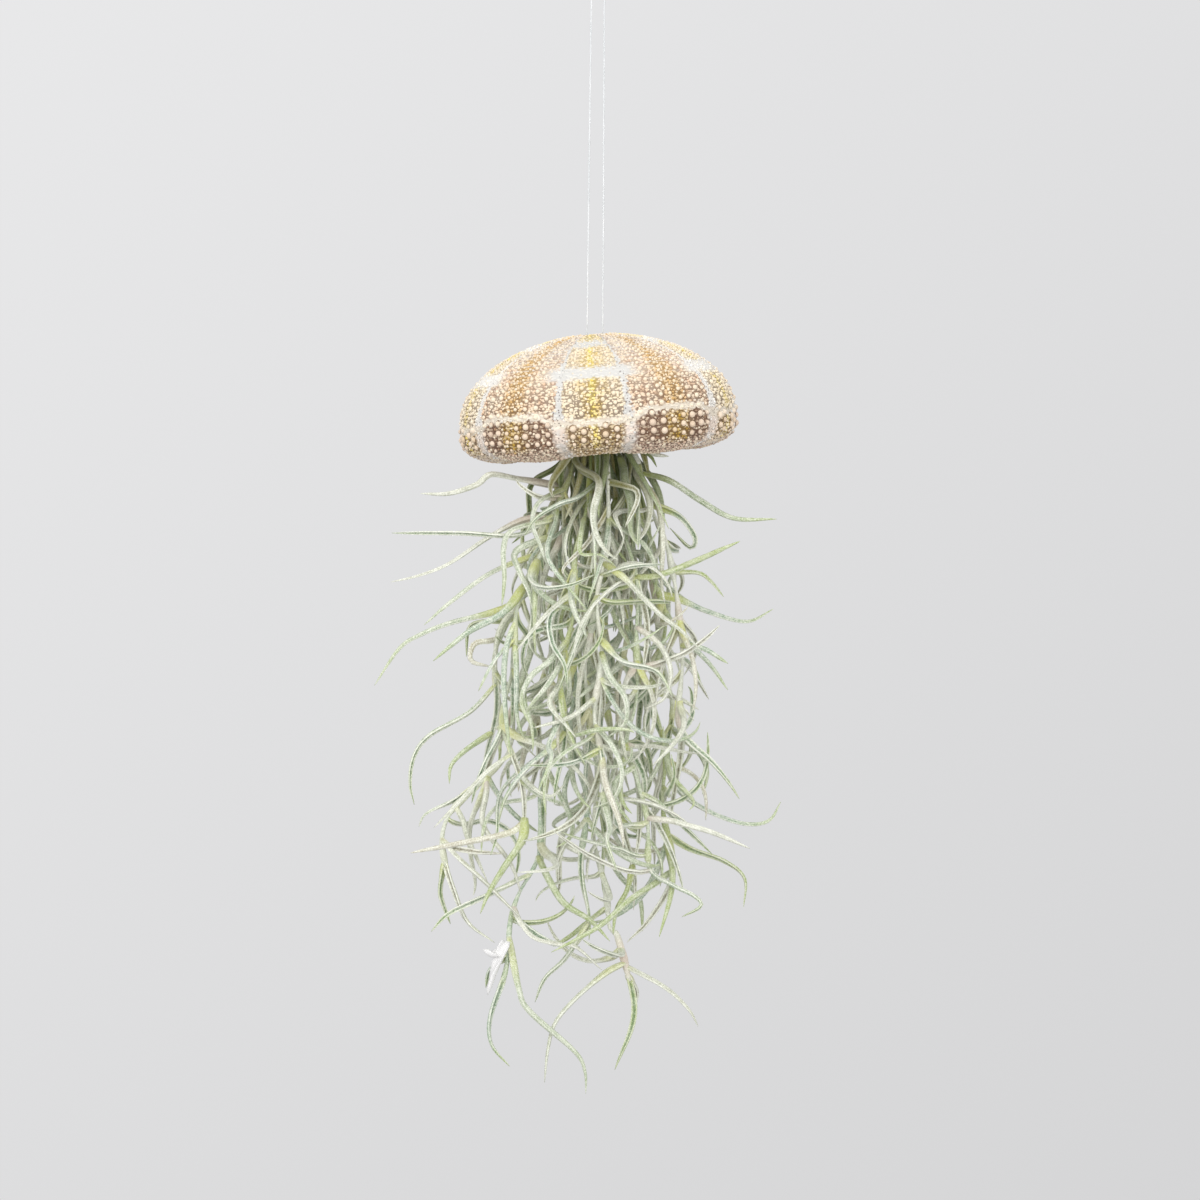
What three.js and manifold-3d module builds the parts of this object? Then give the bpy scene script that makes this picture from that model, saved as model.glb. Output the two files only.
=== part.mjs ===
// Spanish moss hung in a sea-urchin shell on a clear line.
// Millimetres, +Z up. The origin is where a hook bears, at the top inside the line's loop.
// +X is to the right and +Y away from someone who faces the shell's front panel.
import * as THREE from "three";
import { mergeVertices } from "three/addons/utils/BufferGeometryUtils.js";
import Module from "manifold-3d";

const wasm = await Module();
wasm.setup();

// Driving dimensions of the shell, in its own upright frame: z 0 is the ring that it would stand on.
const SHELL_RADIUS = 45.9;
const SHELL_WIDEST_AT = 13;
const DOME_RISE = 28;
const BELLY_DROP = 13.6;
const NARROW_PANEL_LIFT = 1.4;
const BASE_RING_RADIUS = 33;
const BELLY_SQUARENESS = 4;
const MOUTH_RADIUS = 19;
const MOUTH_RISE = 5.5;
const APEX_HOLE_RADIUS = 4.8;
const SHELL_WALL = 1.6;
const TUBERCLE_RISE = 0.7;
const FIVE_SIDED_SWELL = 0.01;
const SHELL_PLACE = new THREE.Vector3(1, 1.8, -167.3);
const SHELL_LEAN = THREE.MathUtils.degToRad(4.5);
const SHELL_NOD = THREE.MathUtils.degToRad(2.5);

// The shell's outline is drawn in fine steps, then thinned to rows; rings near its axis have fewer points.
const OUTLINE_STEPS = 400;
const OUTER_ROW_SPACING = 4.2;
const INNER_ROW_SPACING = 9;
const OUTER_COLUMNS = 80;
const INNER_COLUMNS = 40;
const HALF_COLUMNS_WITHIN = 24;
const QUARTER_COLUMNS_WITHIN = 11;

// How far under the shell's ring, or inside its mouth, a round piece must pass.
const BELOW_RING = 2;
const INSIDE_MOUTH = 0.8;

// Driving dimensions of the line.
const LINE_RADIUS = 0.25;
const LOOP_RADIUS = 2.15;
const LOOP_LENGTH = 12;
const LINE_SIDES = 8;
const LINE_STEPS = 24;
const LINE_CENTRE_X = -1;
const LINE_IN_HOLE_X = [-3.67, 1.67];
const LINE_IN_HOLE_Z = -125.5;
const LINE_FREE_HEIGHTS = [-92, -46];
const TIE_HEIGHT = -141;
const TIE_STEPS = 24;
const LOOP_BEND = 5;
const LOOP_STEPS = 14;
const LOOP_TURN_STEPS = 6;
const KNOT_HALF_SIZE = [0.85, 0.8, 1.3];
const KNOT_HEIGHT = -9.2;
const TAG_ENDS = [
  [[1.6, -0.4, -10.2], [3, -0.4, -12]],
  [[1.3, 0.5, -8.6], [2.6, 0.6, -7.6]],
];
const GAP = 0.3;

// Driving dimensions of the moss.
const STEM_RADIUS = 1.1;
const STEM_TIP_RADIUS = 0.35;
const STEM_TOP = -138;
const STEM_PITCH = 2.6;
const STEM_STRAIGHT = 6;
const STEM_WAVE = 1.3;
const STEM_WAVE_LENGTH = 41;
const STEM_WAVE_FROM = 36;
const STEM_WAVE_GROWS_OVER = 25;
const STEM_WAVE_TURN = 2.4;
const STEM_FINE_STEPS = 12;
const STEM_STEP = 11;
const STEM_SIDES = 4;
const TERMINAL_LEAF = 34;
const LEAF_RADIUS = 0.98;
const LEAF_ROOT_RADIUS = 0.5;
const LEAF_TIP_RADIUS = 0.32;
const LEAF_WIDEST_AT = 0.15;
const LEAF_OPEN_AT = 0.28;
const LEAF_SIDES = 3;
const FINE_STEPS = 20;
const LEAF_STEPS = 4;
const REACHING_FINE_STEPS = 8;
const REACHING_STEP = 10;
const REACHING_STRETCHES = [3, 7];
const NODE_SPACING = 27;
const FIRST_NODE = 16;
const NODE_TURN = 2.399963;
const STRAND_TURN = 1.3;
const TRIES = 40;
const SEED = 20407;

// The ranges that each leaf's shape is drawn from: angles in radians, length in millimetres.
const LEAF_RANGES = {
  facing: [-0.9, 0.9],
  opening: [0.35, 1.65],
  bend: [-1.6, 1.9],
  twist: [-2.5, 2.5],
  length: [25, 47],
};

// How far from the bunch's middle the leaves reach at each height: z, radius, middle x.
const BUNCH_OUTLINE = [
  [-140, 12, -1],
  [-168, 17, 0],
  [-182, 27, 0],
  [-198, 35, 0],
  [-250, 38, -1],
  [-285, 43, -5],
  [-312, 38, -6],
  [-332, 26, -3],
  [-350, 16, 0],
];

// Each strand's place in the tied bundle (ring, turn in sixths or twelfths), and its stem below the tie.
const STRANDS = [
  { slot: [2, 7], stem: [[-8.7, -9, -171.7], [-15.3, -14, -188.3], [-24.7, -17, -215],
    [-29.3, -17, -238.3], [-30.3, -16, -255], [-28, -15, -267.3], [-22.7, -13, -296]] },
  { slot: [2, 6], stem: [[-12, -2, -171.7], [-18.7, -3, -195], [-26.7, -4, -215],
    [-32.7, -3, -231.7], [-34.7, -2, -248.3], [-37, -1, -272]] },
  { slot: [2, 5], stem: [[-10, 6, -171.7], [-16.7, 9, -201.7], [-24.3, 9, -235], [-30, 7, -263],
    [-40, 4, -276.7], [-47.7, 2, -285.7], [-51.3, 0, -294.3], [-51.7, -1, -303],
    [-49.3, -2, -311], [-42.7, -3, -322], [-33, -4, -329]] },
  { slot: [1, 4], stem: [[-4.3, -5, -171.7], [-6, -6, -195], [-7.7, -5, -221.7], [-8.7, -5, -255],
    [-5, -6, -281.7], [-4.3, -5, -308.3], [-4, -4, -328]] },
  { slot: [1, 3], stem: [[-7, 2, -171.7], [-12, 2, -201.7], [-14, 1, -231.7], [-16.7, 0, -265],
    [-20.7, -2, -298.3], [-25.7, -3, -313.3], [-31.3, -5, -335.7], [-34.7, -6, -350],
    [-34.3, -6, -362], [-29.3, -6, -370]] },
  { slot: [1, 1], stem: [[0.7, 3, -171.7], [1.3, 4, -201.7], [0, 4, -231.7], [-2, 3, -261.7],
    [0, 2, -295], [2.7, 0, -321], [7, -1, -327], [10.5, -2, -337], [11, -1, -351.7], [6.7, 1, -371.7]] },
  { slot: [2, 10], stem: [[8, -8, -171.7], [10, -13, -198.3], [14, -15, -225], [11.3, -15, -248.3],
    [10, -15, -262], [13.3, -15, -272], [15, -14, -288], [18, -12, -303.7], [25.7, -14, -309],
    [33, -15, -312.7], [34.7, -15, -316], [27.7, -15, -319.5]] },
  { slot: [2, 0], stem: [[12, 3, -171.7], [17.3, 4, -195], [21.3, 5, -221.7], [19.3, 4, -248.3],
    [22, 2, -271.7], [23.3, 1, -293.3], [23.3, 0, -310], [18, -1, -322], [10.7, -2, -329]] },
  { slot: [2, 11], stem: [[14, -4, -171.7], [18, -7, -185], [23, -9, -201.7], [28, -9, -218.3],
    [26.5, -9, -241.7], [29, -8, -258], [38, -10, -269], [45.7, -10, -281]] },
  { slot: [2, 1], stem: [[10.7, 9, -171.7], [15.7, 14, -195], [21.3, 18, -221.7], [24, 19, -248.3],
    [21.3, 18, -285]] },
  { slot: [2, 4], stem: [[-6, 11, -171.7], [-10.7, 18, -195], [-16, 22, -225], [-19.3, 24, -251.7],
    [-24, 22, -286]] },
  { slot: [2, 3], stem: [[1.5, 13, -171.7], [2.5, 20, -195], [3.5, 26, -228.3], [1.5, 28, -258.3],
    [4, 25, -296]] },
  { slot: [2, 8], stem: [[-2.5, -13, -171.7], [-5.5, -20, -195], [-9.5, -24, -221.7],
    [-11.5, -25, -248.3], [-13, -23, -282]] },
  { slot: [2, 9], stem: [[3.3, -12.5, -171.7], [2.7, -20, -195], [0.5, -25, -221.7],
    [-0.2, -26, -248.3], [1.2, -26, -266], [-1, -23, -294]] },
  { slot: [1, 2], stem: [[-3, 7, -171.7], [-3.5, 11, -201.7], [-4.8, 13, -231.7], [-3, 13, -261.7],
    [0.7, 12, -291.7], [4, 9, -318]] },
  { slot: [1, 0], stem: [[5.2, -1.5, -171.7], [6.4, -3, -201.7], [8.4, -4, -231.7],
    [6.9, -4, -261.7], [9, -4, -288.3], [12, -3, -318]] },
  { slot: [2, 2], stem: [[6, 10.5, -171.7], [9.3, 17, -198.3], [13, 23, -228.3], [16, 24, -276]] },
  { slot: [1, 5], stem: [[0.7, -7, -171.7], [-0.4, -12, -198.3], [-2.4, -15, -228.3],
    [-3.8, -15, -255], [-2, -14, -287]] },
];

// The leaves that reach out of the bunch: strand, height of the root, then the leaf's points to its tip.
const REACHING_LEAVES = [
  [2, -177, [-26, -8, -175], [-35.3, -16, -173.5], [-40, -18, -177], [-49.3, -20, -180], [-58.3, -21, -180]],
  [1, -181, [-19.3, -16, -181], [-25.3, -17, -177.5], [-27.2, -17, -175]],
  [1, -187, [-26, -17, -193.5], [-45, -20, -193], [-67.7, -22, -193]],
  [2, -187, [-26, -1, -188.7], [-36.7, 1, -194.3], [-49.3, 3, -202.7], [-59.3, 4, -206.7], [-69.3, 5, -209]],
  [2, -200, [-36, -6, -206.3], [-49.3, -7, -216], [-57.7, -8, -223.3]],
  [2, -216, [-36, -6, -219.3], [-49.3, -8, -222.7], [-59.3, -9, -226.7], [-66, -10, -231.3],
    [-74, -10, -243.3]],
  [1, -210, [-31, -20, -219], [-42.7, -23, -225.7], [-54, -24, -235]],
  [2, -222, [-39.3, 2, -222.3], [-43.3, 4, -224.8], [-44, 6, -234]],
  [2, -228, [-36, -10, -228.5], [-41, -12, -229.5], [-42, -13, -235], [-35.3, -14, -237]],
  [1, -228, [-32.7, -19, -233.3], [-36, -20, -238.3], [-39.3, -20, -245]],
  [2, -243, [-42.7, -1, -252.3], [-56, 0, -260], [-61.3, 1, -267], [-62.7, 1, -276], [-61.3, 2, -283.3]],
  [2, -259, [-44, -4, -265], [-48.7, -6, -270], [-49.3, -7, -276]],
  [1, -266, [-36.7, -17, -271.7], [-46, -18, -281.7], [-54, -18, -290]],
  [3, -277, [-48, 7, -282], [-57.7, 8, -286.7], [-60, 8, -291]],
  [3, -284, [-44.7, -1, -289], [-43.3, -3, -294.3], [-36.7, -6, -308.3]],
  [3, -302, [-52.7, 2, -311.7], [-51.7, 3, -316.7], [-49.3, 4, -323.3]],
  [7, -301, [10.7, -15, -304.5], [-2.7, -18, -299], [-14.7, -19, -291]],
  [1, -288, [-29.3, -16, -291.7], [-45, -18, -295], [-61.7, -18, -298.3]],
  [5, -306, [-36, -5, -312.7], [-49.3, -7, -319], [-55.3, -7, -325]],
  [5, -327, [-26, -9, -344], [-22.7, -10, -351], [-7.7, -12, -364.3], [-4.3, -12, -371], [-4, -12, -378.3]],
  [5, -333, [-36, -3, -338.3], [-37.3, -3, -344]],
  [5, -320, [-17, -7, -328], [-6, -9, -330]],
  [6, -336, [2.3, -4, -339.3], [-7.7, -6, -347.7], [-14.3, -7, -355.7], [-16.7, -8, -365], [-17.7, -8, -375]],
  [6, -337, [22.3, -3, -344], [30, -4, -351], [33.3, -4, -356.7]],
  [6, -340, [13, 4, -346], [12, 6, -352]],
  [4, -322, [-10.7, -3, -334], [-17.7, -2, -341], [-21, -1, -349]],
  [6, -317, [-8.7, 6, -327], [-15, 7, -331]],
  [16, -303, [9.7, -7, -311], [6, -8, -318], [5, -8, -326]],
  [15, -298, [7.3, 9, -307.3], [14, 8, -315], [15, 8, -326]],
  [9, -173, [24, -7, -175.5], [34, -9, -182], [45, -12, -188], [59, -14, -188.3]],
  [9, -183, [27, -4, -187], [32.3, -2, -194], [30.7, 0, -197.5], [24, 1, -191]],
  [7, -206, [19, -17, -207], [30.7, -20, -202.7], [46.7, -22, -195.7]],
  [14, -207, [10.7, -28, -204], [21.3, -27, -203.3]],
  [9, -206, [33, -10, -206], [37, -10, -208.5], [41.7, -10, -214]],
  [8, -213, [27.3, 8, -214.7], [37.3, 10, -219], [50, 12, -222.3], [59, 12, -218]],
  [8, -218, [27, 3, -226], [37, 0, -236], [43.3, -2, -245]],
  [7, -236, [25.7, -19, -233.7], [34, -21, -228.7], [40, -22, -223.3]],
  [9, -230, [35, -12, -231], [43, -14, -236]],
  [8, -246, [27.3, 0, -248], [33.5, -1, -251.5]],
  [8, -270, [27.3, 5, -279], [37.3, 7, -286], [49, 8, -290], [57.3, 9, -289], [61.3, 9, -282.7]],
  [7, -284, [25.7, -18, -288], [37.3, -20, -291.3], [50, -21, -296.7]],
  [7, -276, [24, -11, -285.7], [37.7, -9, -299]],
  [8, -293, [30.7, 3, -298], [42.3, 4, -302.3], [49, 4, -308], [48.7, 4, -317.7]],
  [14, -176, [9, -20, -177.5], [12.7, -22, -179], [12.9, -23, -183], [9, -25, -191]],
  [1, -272, [-20, -23, -277.5], [-15, -25, -279.3], [-10.7, -27, -275]],
  [14, -247, [-9.3, -31, -253.3], [-21, -32, -256.7]],
  [14, -264, [-9.3, -31, -268.3], [-22.7, -32, -269]],
  [12, -205, [8, 38, -212], [6, 52, -226]],
  [12, -238, [-3, 42, -243], [-9, 55, -240], [-12, 61, -247]],
  [11, -214, [-22, 34, -222], [-30, 46, -236]],
  [11, -262, [-28, 36, -270], [-31, 47, -272], [-30, 54, -283]],
  [10, -232, [31, 30, -238], [38, 40, -249]],
  [17, -268, [20, 36, -277], [26, 46, -292]],
  [13, -212, [-17, -38, -220], [-26, -49, -231]],
  [13, -252, [-16, -38, -262], [-15, -50, -266], [-19, -58, -276]],
  [14, -228, [8, -40, -235], [19, -51, -238], [24, -56, -246]],
  [14, -278, [4, -35, -289], [3, -46, -293], [6, -51, -302]],
];

// The directions in which the crown's arms fold over, in degrees; the line passes at 0 and 180.
const CROWN_ARMS = [38, 64, 90, 116, 142, 218, 244, 270, 296, 322];

// The crown's core as radius and height in the shell's frame. Each arm starts in the core at the first
// of its points; the rest are radius and depth under the shell's inside, and the last two droop further.
const CROWN_CORE = [[0, 30.4], [3.2, 30.4], [3.3, 31], [1.6, 35.6], [0, 36.8]];
const CROWN_CORE_SIDES = 8;
const ARM_START = [1.2, 34.5];
const ARM_CRESTS = [5, 10];
const ARM_SHOULDER = 14;
const ARM_SHOULDER_DROP = 2.2;
const ARM_DROOP = [[16.4, 7, 1], [15.6, 12, 2]];
const ARM_CLEARANCE = 0.1;
const ARM_TAPER = 0.65;

// Depths tried for a reaching leaf until it passes clear of the others.
const DEPTH_SHIFTS = [0, -2.5, 2.5, -5, 5, -7.5, 7.5, -10, 10, -13, 13];

const SHELL_COLOUR = 0xc9a06f;
const MOSS_COLOUR = 0xa9b79a;
const LINE_COLOUR = 0xf2f4f4;

// The same row of numbers from 0 to 1 on every run.
function seededDraws(seed) {
  let state = seed;
  return () => {
    state = (state + 0x6d2b79f5) | 0;
    let mixed = Math.imul(state ^ (state >>> 15), 1 | state);
    mixed = (mixed + Math.imul(mixed ^ (mixed >>> 7), 61 | mixed)) ^ mixed;
    return ((mixed ^ (mixed >>> 14)) >>> 0) / 4294967296;
  };
}

function toSolid(geometry) {
  const bare = geometry.clone();
  bare.deleteAttribute("normal");
  bare.deleteAttribute("uv");
  const merged = mergeVertices(bare, 1e-4);
  return new wasm.Manifold(
    new wasm.Mesh({
      numProp: 3,
      vertProperties: merged.attributes.position.array,
      triVerts: new Uint32Array(merged.index.array),
    }),
  );
}

function toGeometry(solid) {
  const mesh = solid.getMesh();
  return new THREE.BufferGeometry()
    .setAttribute("position", new THREE.BufferAttribute(mesh.vertProperties, 3))
    .setIndex(new THREE.BufferAttribute(mesh.triVerts, 1));
}

function named(name, geometry, material) {
  geometry.computeVertexNormals();
  const mesh = new THREE.Mesh(geometry, material);
  mesh.name = name;
  return mesh;
}

// The shell

// Half of the shell's outline, from the rim of the top hole over the belly and in to the mouth,
// as rows a given distance apart: radius, height.
function shellProfile(inset, spacing) {
  const radius = SHELL_RADIUS - inset;
  const rise = DOME_RISE - inset;
  const drop = BELLY_DROP - inset;
  const dense = [];
  const steps = OUTLINE_STEPS;
  const start = Math.asin(APEX_HOLE_RADIUS / radius);
  for (let i = 0; i <= steps; i++) {
    const a = start + ((Math.PI / 2 - start) * i) / steps;
    dense.push([radius * Math.sin(a), SHELL_WIDEST_AT + rise * Math.cos(a)]);
  }
  const ring = BASE_RING_RADIUS;
  for (let i = 1; i <= steps; i++) {
    const r = radius + ((ring - radius) * (1 - Math.cos((Math.PI * i) / steps))) / 2;
    const fall = (1 - (r / radius) ** BELLY_SQUARENESS) ** (1 / BELLY_SQUARENESS);
    dense.push([r, SHELL_WIDEST_AT - drop * fall]);
  }
  const low = dense[dense.length - 1][1];
  for (let i = 1; i <= steps; i++) {
    const share = i / steps;
    const lift = MOUTH_RISE * share * share;
    dense.push([ring + (MOUTH_RADIUS - ring) * share, low + lift]);
  }
  const rows = [dense[0]];
  let walked = 0;
  let total = 0;
  for (let i = 1; i < dense.length; i++)
    total += Math.hypot(dense[i][0] - dense[i - 1][0], dense[i][1] - dense[i - 1][1]);
  const count = Math.round(total / spacing);
  for (let i = 1; i < dense.length; i++) {
    walked += Math.hypot(dense[i][0] - dense[i - 1][0], dense[i][1] - dense[i - 1][1]);
    if (walked >= (rows.length * total) / count - 1e-9) rows.push(dense[i]);
  }
  if (rows.length <= count) rows.push(dense[dense.length - 1]);
  return rows;
}

// One ring of the shell's surface; every second point is raised along the surface's own slope.
// The underside is a little higher at the five narrow panels, one of which faces the front.
function shellRing([radius, height], columns, row, raised, slope) {
  const points = [];
  const low = Math.max(0, (SHELL_WIDEST_AT - height) / BELLY_DROP);
  for (let i = 0; i < columns; i++) {
    const turn = (2 * Math.PI * i) / columns;
    const wide = Math.cos(5 * (turn - Math.PI / 2));
    const swell = 1 + FIVE_SIDED_SWELL * wide;
    const lift = (NARROW_PANEL_LIFT * low * low * (1 - wide)) / 2;
    const rise = raised && (i + row) % 2 === 0 ? TUBERCLE_RISE : 0;
    const r = radius * swell + rise * slope[0];
    points.push([r * Math.cos(turn), r * Math.sin(turn), height + lift + rise * slope[1]]);
  }
  return points;
}

// Joins two rings into a band of triangles; one ring may have twice the points of the other.
function band(index, from, fromCount, to, toCount) {
  const least = Math.min(fromCount, toCount);
  for (let i = 0; i < least; i++) {
    const next = (i + 1) % least;
    if (fromCount === toCount) {
      index.push(from + i, to + i, to + next, from + i, to + next, from + next);
    } else if (toCount > fromCount) {
      const middle = to + 2 * i + 1;
      const far = to + ((2 * i + 2) % toCount);
      index.push(from + i, to + 2 * i, middle, from + i, middle, from + next, from + next, middle, far);
    } else {
      const middle = from + 2 * i + 1;
      const far = from + ((2 * i + 2) % fromCount);
      index.push(from + 2 * i, to + i, middle, middle, to + i, to + next, middle, to + next, far);
    }
  }
}

function columnsAt(radius, finest) {
  if (radius > HALF_COLUMNS_WITHIN) return finest;
  return radius > QUARTER_COLUMNS_WITHIN ? finest / 2 : finest / 4;
}

function shellGeometry() {
  const outer = shellProfile(0, OUTER_ROW_SPACING);
  const inner = shellProfile(SHELL_WALL, INNER_ROW_SPACING).reverse();
  const rings = [];
  outer.forEach((row, j) => {
    const before = outer[Math.max(0, j - 1)];
    const after = outer[Math.min(outer.length - 1, j + 1)];
    const run = [after[0] - before[0], after[1] - before[1]];
    const long = Math.hypot(run[0], run[1]);
    const raised = j > 0 && j < outer.length - 2;
    const columns = columnsAt(row[0], OUTER_COLUMNS);
    rings.push(shellRing(row, columns, j, raised, [-run[1] / long, run[0] / long]));
  });
  for (const row of inner)
    rings.push(shellRing(row, columnsAt(row[0], INNER_COLUMNS), 0, false, [0, 0]));
  const position = [];
  const starts = [];
  for (const ring of rings) {
    starts.push(position.length / 3);
    for (const point of ring) position.push(...point);
  }
  const index = [];
  rings.forEach((ring, j) => {
    const k = (j + 1) % rings.length;
    band(index, starts[j], ring.length, starts[k], rings[k].length);
  });
  return new THREE.BufferGeometry()
    .setAttribute("position", new THREE.Float32BufferAttribute(position, 3))
    .setIndex(index);
}

const shellFrame = new THREE.Matrix4()
  .makeTranslation(SHELL_PLACE.x, SHELL_PLACE.y, SHELL_PLACE.z)
  .multiply(new THREE.Matrix4().makeRotationX(SHELL_NOD))
  .multiply(new THREE.Matrix4().makeRotationY(-SHELL_LEAN));
const intoShell = shellFrame.clone().invert();

// True where a round piece at this point passes the shell, through its mouth or below it.
function clearOfShell(point, radius) {
  const local = point.clone().applyMatrix4(intoShell);
  const below = local.z < -BELOW_RING - radius;
  return below || Math.hypot(local.x, local.y) < MOUTH_RADIUS - INSIDE_MOUTH - radius;
}

// The line

function lineSection() {
  const shape = new THREE.Shape();
  for (let i = 0; i < LINE_SIDES; i++) {
    const a = (2 * Math.PI * i) / LINE_SIDES;
    const [x, y] = [LINE_RADIUS * Math.cos(a), LINE_RADIUS * Math.sin(a)];
    if (i === 0) shape.moveTo(x, y);
    else shape.lineTo(x, y);
  }
  shape.closePath();
  return shape;
}

function lineAlong(points, steps) {
  const curve = new THREE.CatmullRomCurve3(points.map((p) => new THREE.Vector3(...p)));
  return new THREE.ExtrudeGeometry(lineSection(), { extrudePath: curve, steps, bevelEnabled: false });
}

const tieRadius = 2 * STEM_PITCH + STEM_RADIUS + GAP + LINE_RADIUS;

// One side of the line, from the tie up through the shell's top hole to the loop.
function lineStrand(side, holeX) {
  const tieX = LINE_CENTRE_X + side * tieRadius;
  const foot = TIE_HEIGHT + 2 * LINE_RADIUS + GAP;
  const drawIn = side * LOOP_RADIUS - holeX;
  const [low, high] = LINE_FREE_HEIGHTS;
  return lineAlong(
    [
      [tieX, 0, foot],
      [tieX, 0, foot + 3.2],
      [holeX + side * 1.1, 0, LINE_IN_HOLE_Z - 4],
      [holeX, 0, LINE_IN_HOLE_Z],
      [holeX + drawIn * 0.3, 0, low],
      [holeX + drawIn * 0.7, 0, high],
      [side * LOOP_RADIUS, 0, -LOOP_LENGTH - GAP],
    ],
    LINE_STEPS,
  );
}

// The loop over the hook, with the knot on its right side and the line's two cut ends.
function loopGeometry() {
  const middle = LINE_RADIUS - LOOP_RADIUS;
  const points = [[-LOOP_RADIUS, 0, -LOOP_LENGTH], [-LOOP_RADIUS, 0, middle - LOOP_BEND]];
  for (let i = 0; i <= LOOP_TURN_STEPS; i++) {
    const a = Math.PI - (Math.PI * i) / LOOP_TURN_STEPS;
    points.push([LOOP_RADIUS * Math.cos(a), 0, middle + LOOP_RADIUS * Math.sin(a)]);
  }
  points.push([LOOP_RADIUS, 0, middle - LOOP_BEND], [LOOP_RADIUS, 0, -LOOP_LENGTH]);
  const knot = new THREE.IcosahedronGeometry(1, 1);
  knot.scale(...KNOT_HALF_SIZE).translate(LOOP_RADIUS, 0, KNOT_HEIGHT);
  const tags = TAG_ENDS.map((ends) => {
    const route = ends.map(([x, y, z]) => [LOOP_RADIUS + x, y, z]);
    return lineAlong([[LOOP_RADIUS, 0, KNOT_HEIGHT], ...route], 2);
  });
  const pieces = [lineAlong(points, LOOP_STEPS), knot, ...tags].map(toSolid);
  return toGeometry(pieces.reduce((all, piece) => all.add(piece)));
}

function tieGeometry() {
  const ring = new THREE.TorusGeometry(tieRadius, LINE_RADIUS, 6, TIE_STEPS);
  return ring.translate(LINE_CENTRE_X, 0, TIE_HEIGHT);
}

// The moss

// A closed tube along a row of points, with a radius at each point.
function taperedTube(points, radii, sides) {
  const position = [];
  const index = [];
  const last = points.length - 1;
  const across = new THREE.Vector3(0.31, 0.83, 0.47);
  points.forEach((point, i) => {
    const along = points[Math.min(last, i + 1)].clone().sub(points[Math.max(0, i - 1)]).normalize();
    across.addScaledVector(along, -across.dot(along)).normalize();
    const up = along.clone().cross(across);
    for (let k = 0; k < sides; k++) {
      const a = (2 * Math.PI * k) / sides;
      const place = point.clone();
      place.addScaledVector(across, radii[i] * Math.cos(a)).addScaledVector(up, radii[i] * Math.sin(a));
      position.push(place.x, place.y, place.z);
    }
  });
  for (let i = 0; i < last; i++)
    for (let k = 0; k < sides; k++) {
      const next = (k + 1) % sides;
      const [a, b] = [i * sides + k, i * sides + next];
      index.push(a, b, b + sides, a, b + sides, a + sides);
    }
  for (let k = 1; k < sides - 1; k++) {
    index.push(0, k + 1, k);
    index.push(last * sides, last * sides + k, last * sides + k + 1);
  }
  return new THREE.BufferGeometry()
    .setAttribute("position", new THREE.Float32BufferAttribute(position, 3))
    .setIndex(index);
}

// Points along a smooth curve through the given ones.
function smoothed(points, perSpan) {
  const curve = new THREE.CatmullRomCurve3(points, false, "catmullrom", 0.5);
  return curve.getPoints((points.length - 1) * perSpan);
}

function lengthOf(points) {
  let total = 0;
  for (let i = 1; i < points.length; i++) total += points[i].distanceTo(points[i - 1]);
  return total;
}

// The point at a distance along a row of points.
function pointAt(points, distance) {
  let left = distance;
  for (let i = 1; i < points.length; i++) {
    const long = points[i].distanceTo(points[i - 1]);
    if (left <= long) return points[i - 1].clone().lerp(points[i], left / long);
    left -= long;
  }
  return points[points.length - 1].clone();
}

function evenPoints(points, count) {
  const long = lengthOf(points);
  const even = [points[0].clone()];
  for (let i = 1; i < count; i++) even.push(pointAt(points, (long * i) / count));
  even.push(points[points.length - 1].clone());
  return even;
}

function slotPlace([ring, turn]) {
  const step = ring === 1 ? Math.PI / 3 : Math.PI / 6;
  const radius = ring === 1 || turn % 2 === 0 ? ring * STEM_PITCH : ring * STEM_PITCH * Math.cos(Math.PI / 6);
  return [LINE_CENTRE_X + radius * Math.cos(turn * step), radius * Math.sin(turn * step)];
}

// A strand's stem: straight through the tie, then down its own points with a slight wave.
function stemPoints(strand, number) {
  const [x, y] = slotPlace(strand.slot);
  const points = [
    new THREE.Vector3(x, y, STEM_TOP),
    new THREE.Vector3(x, y, STEM_TOP - STEM_STRAIGHT),
    ...strand.stem.map((p) => new THREE.Vector3(...p)),
  ];
  const fine = smoothed(points, STEM_FINE_STEPS);
  const phase = number * STEM_WAVE_TURN;
  for (const p of fine) {
    const share = THREE.MathUtils.clamp((STEM_TOP - STEM_WAVE_FROM - p.z) / STEM_WAVE_GROWS_OVER, 0, 1);
    const turn = (2 * Math.PI * p.z) / STEM_WAVE_LENGTH + phase;
    p.x += STEM_WAVE * share * Math.sin(turn);
    p.y += STEM_WAVE * share * Math.cos(turn * 0.8);
  }
  return fine;
}

function stemRadius(distance, length) {
  const left = length - distance;
  const share = THREE.MathUtils.clamp(left / TERMINAL_LEAF, 0, 1);
  return STEM_TIP_RADIUS + (STEM_RADIUS - STEM_TIP_RADIUS) * Math.sqrt(share);
}

function leafRadius(share) {
  if (share < LEAF_WIDEST_AT)
    return LEAF_ROOT_RADIUS + ((LEAF_RADIUS - LEAF_ROOT_RADIUS) * share) / LEAF_WIDEST_AT;
  const rest = (share - LEAF_WIDEST_AT) / (1 - LEAF_WIDEST_AT);
  return LEAF_RADIUS + (LEAF_TIP_RADIUS - LEAF_RADIUS) * rest * rest;
}

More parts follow.
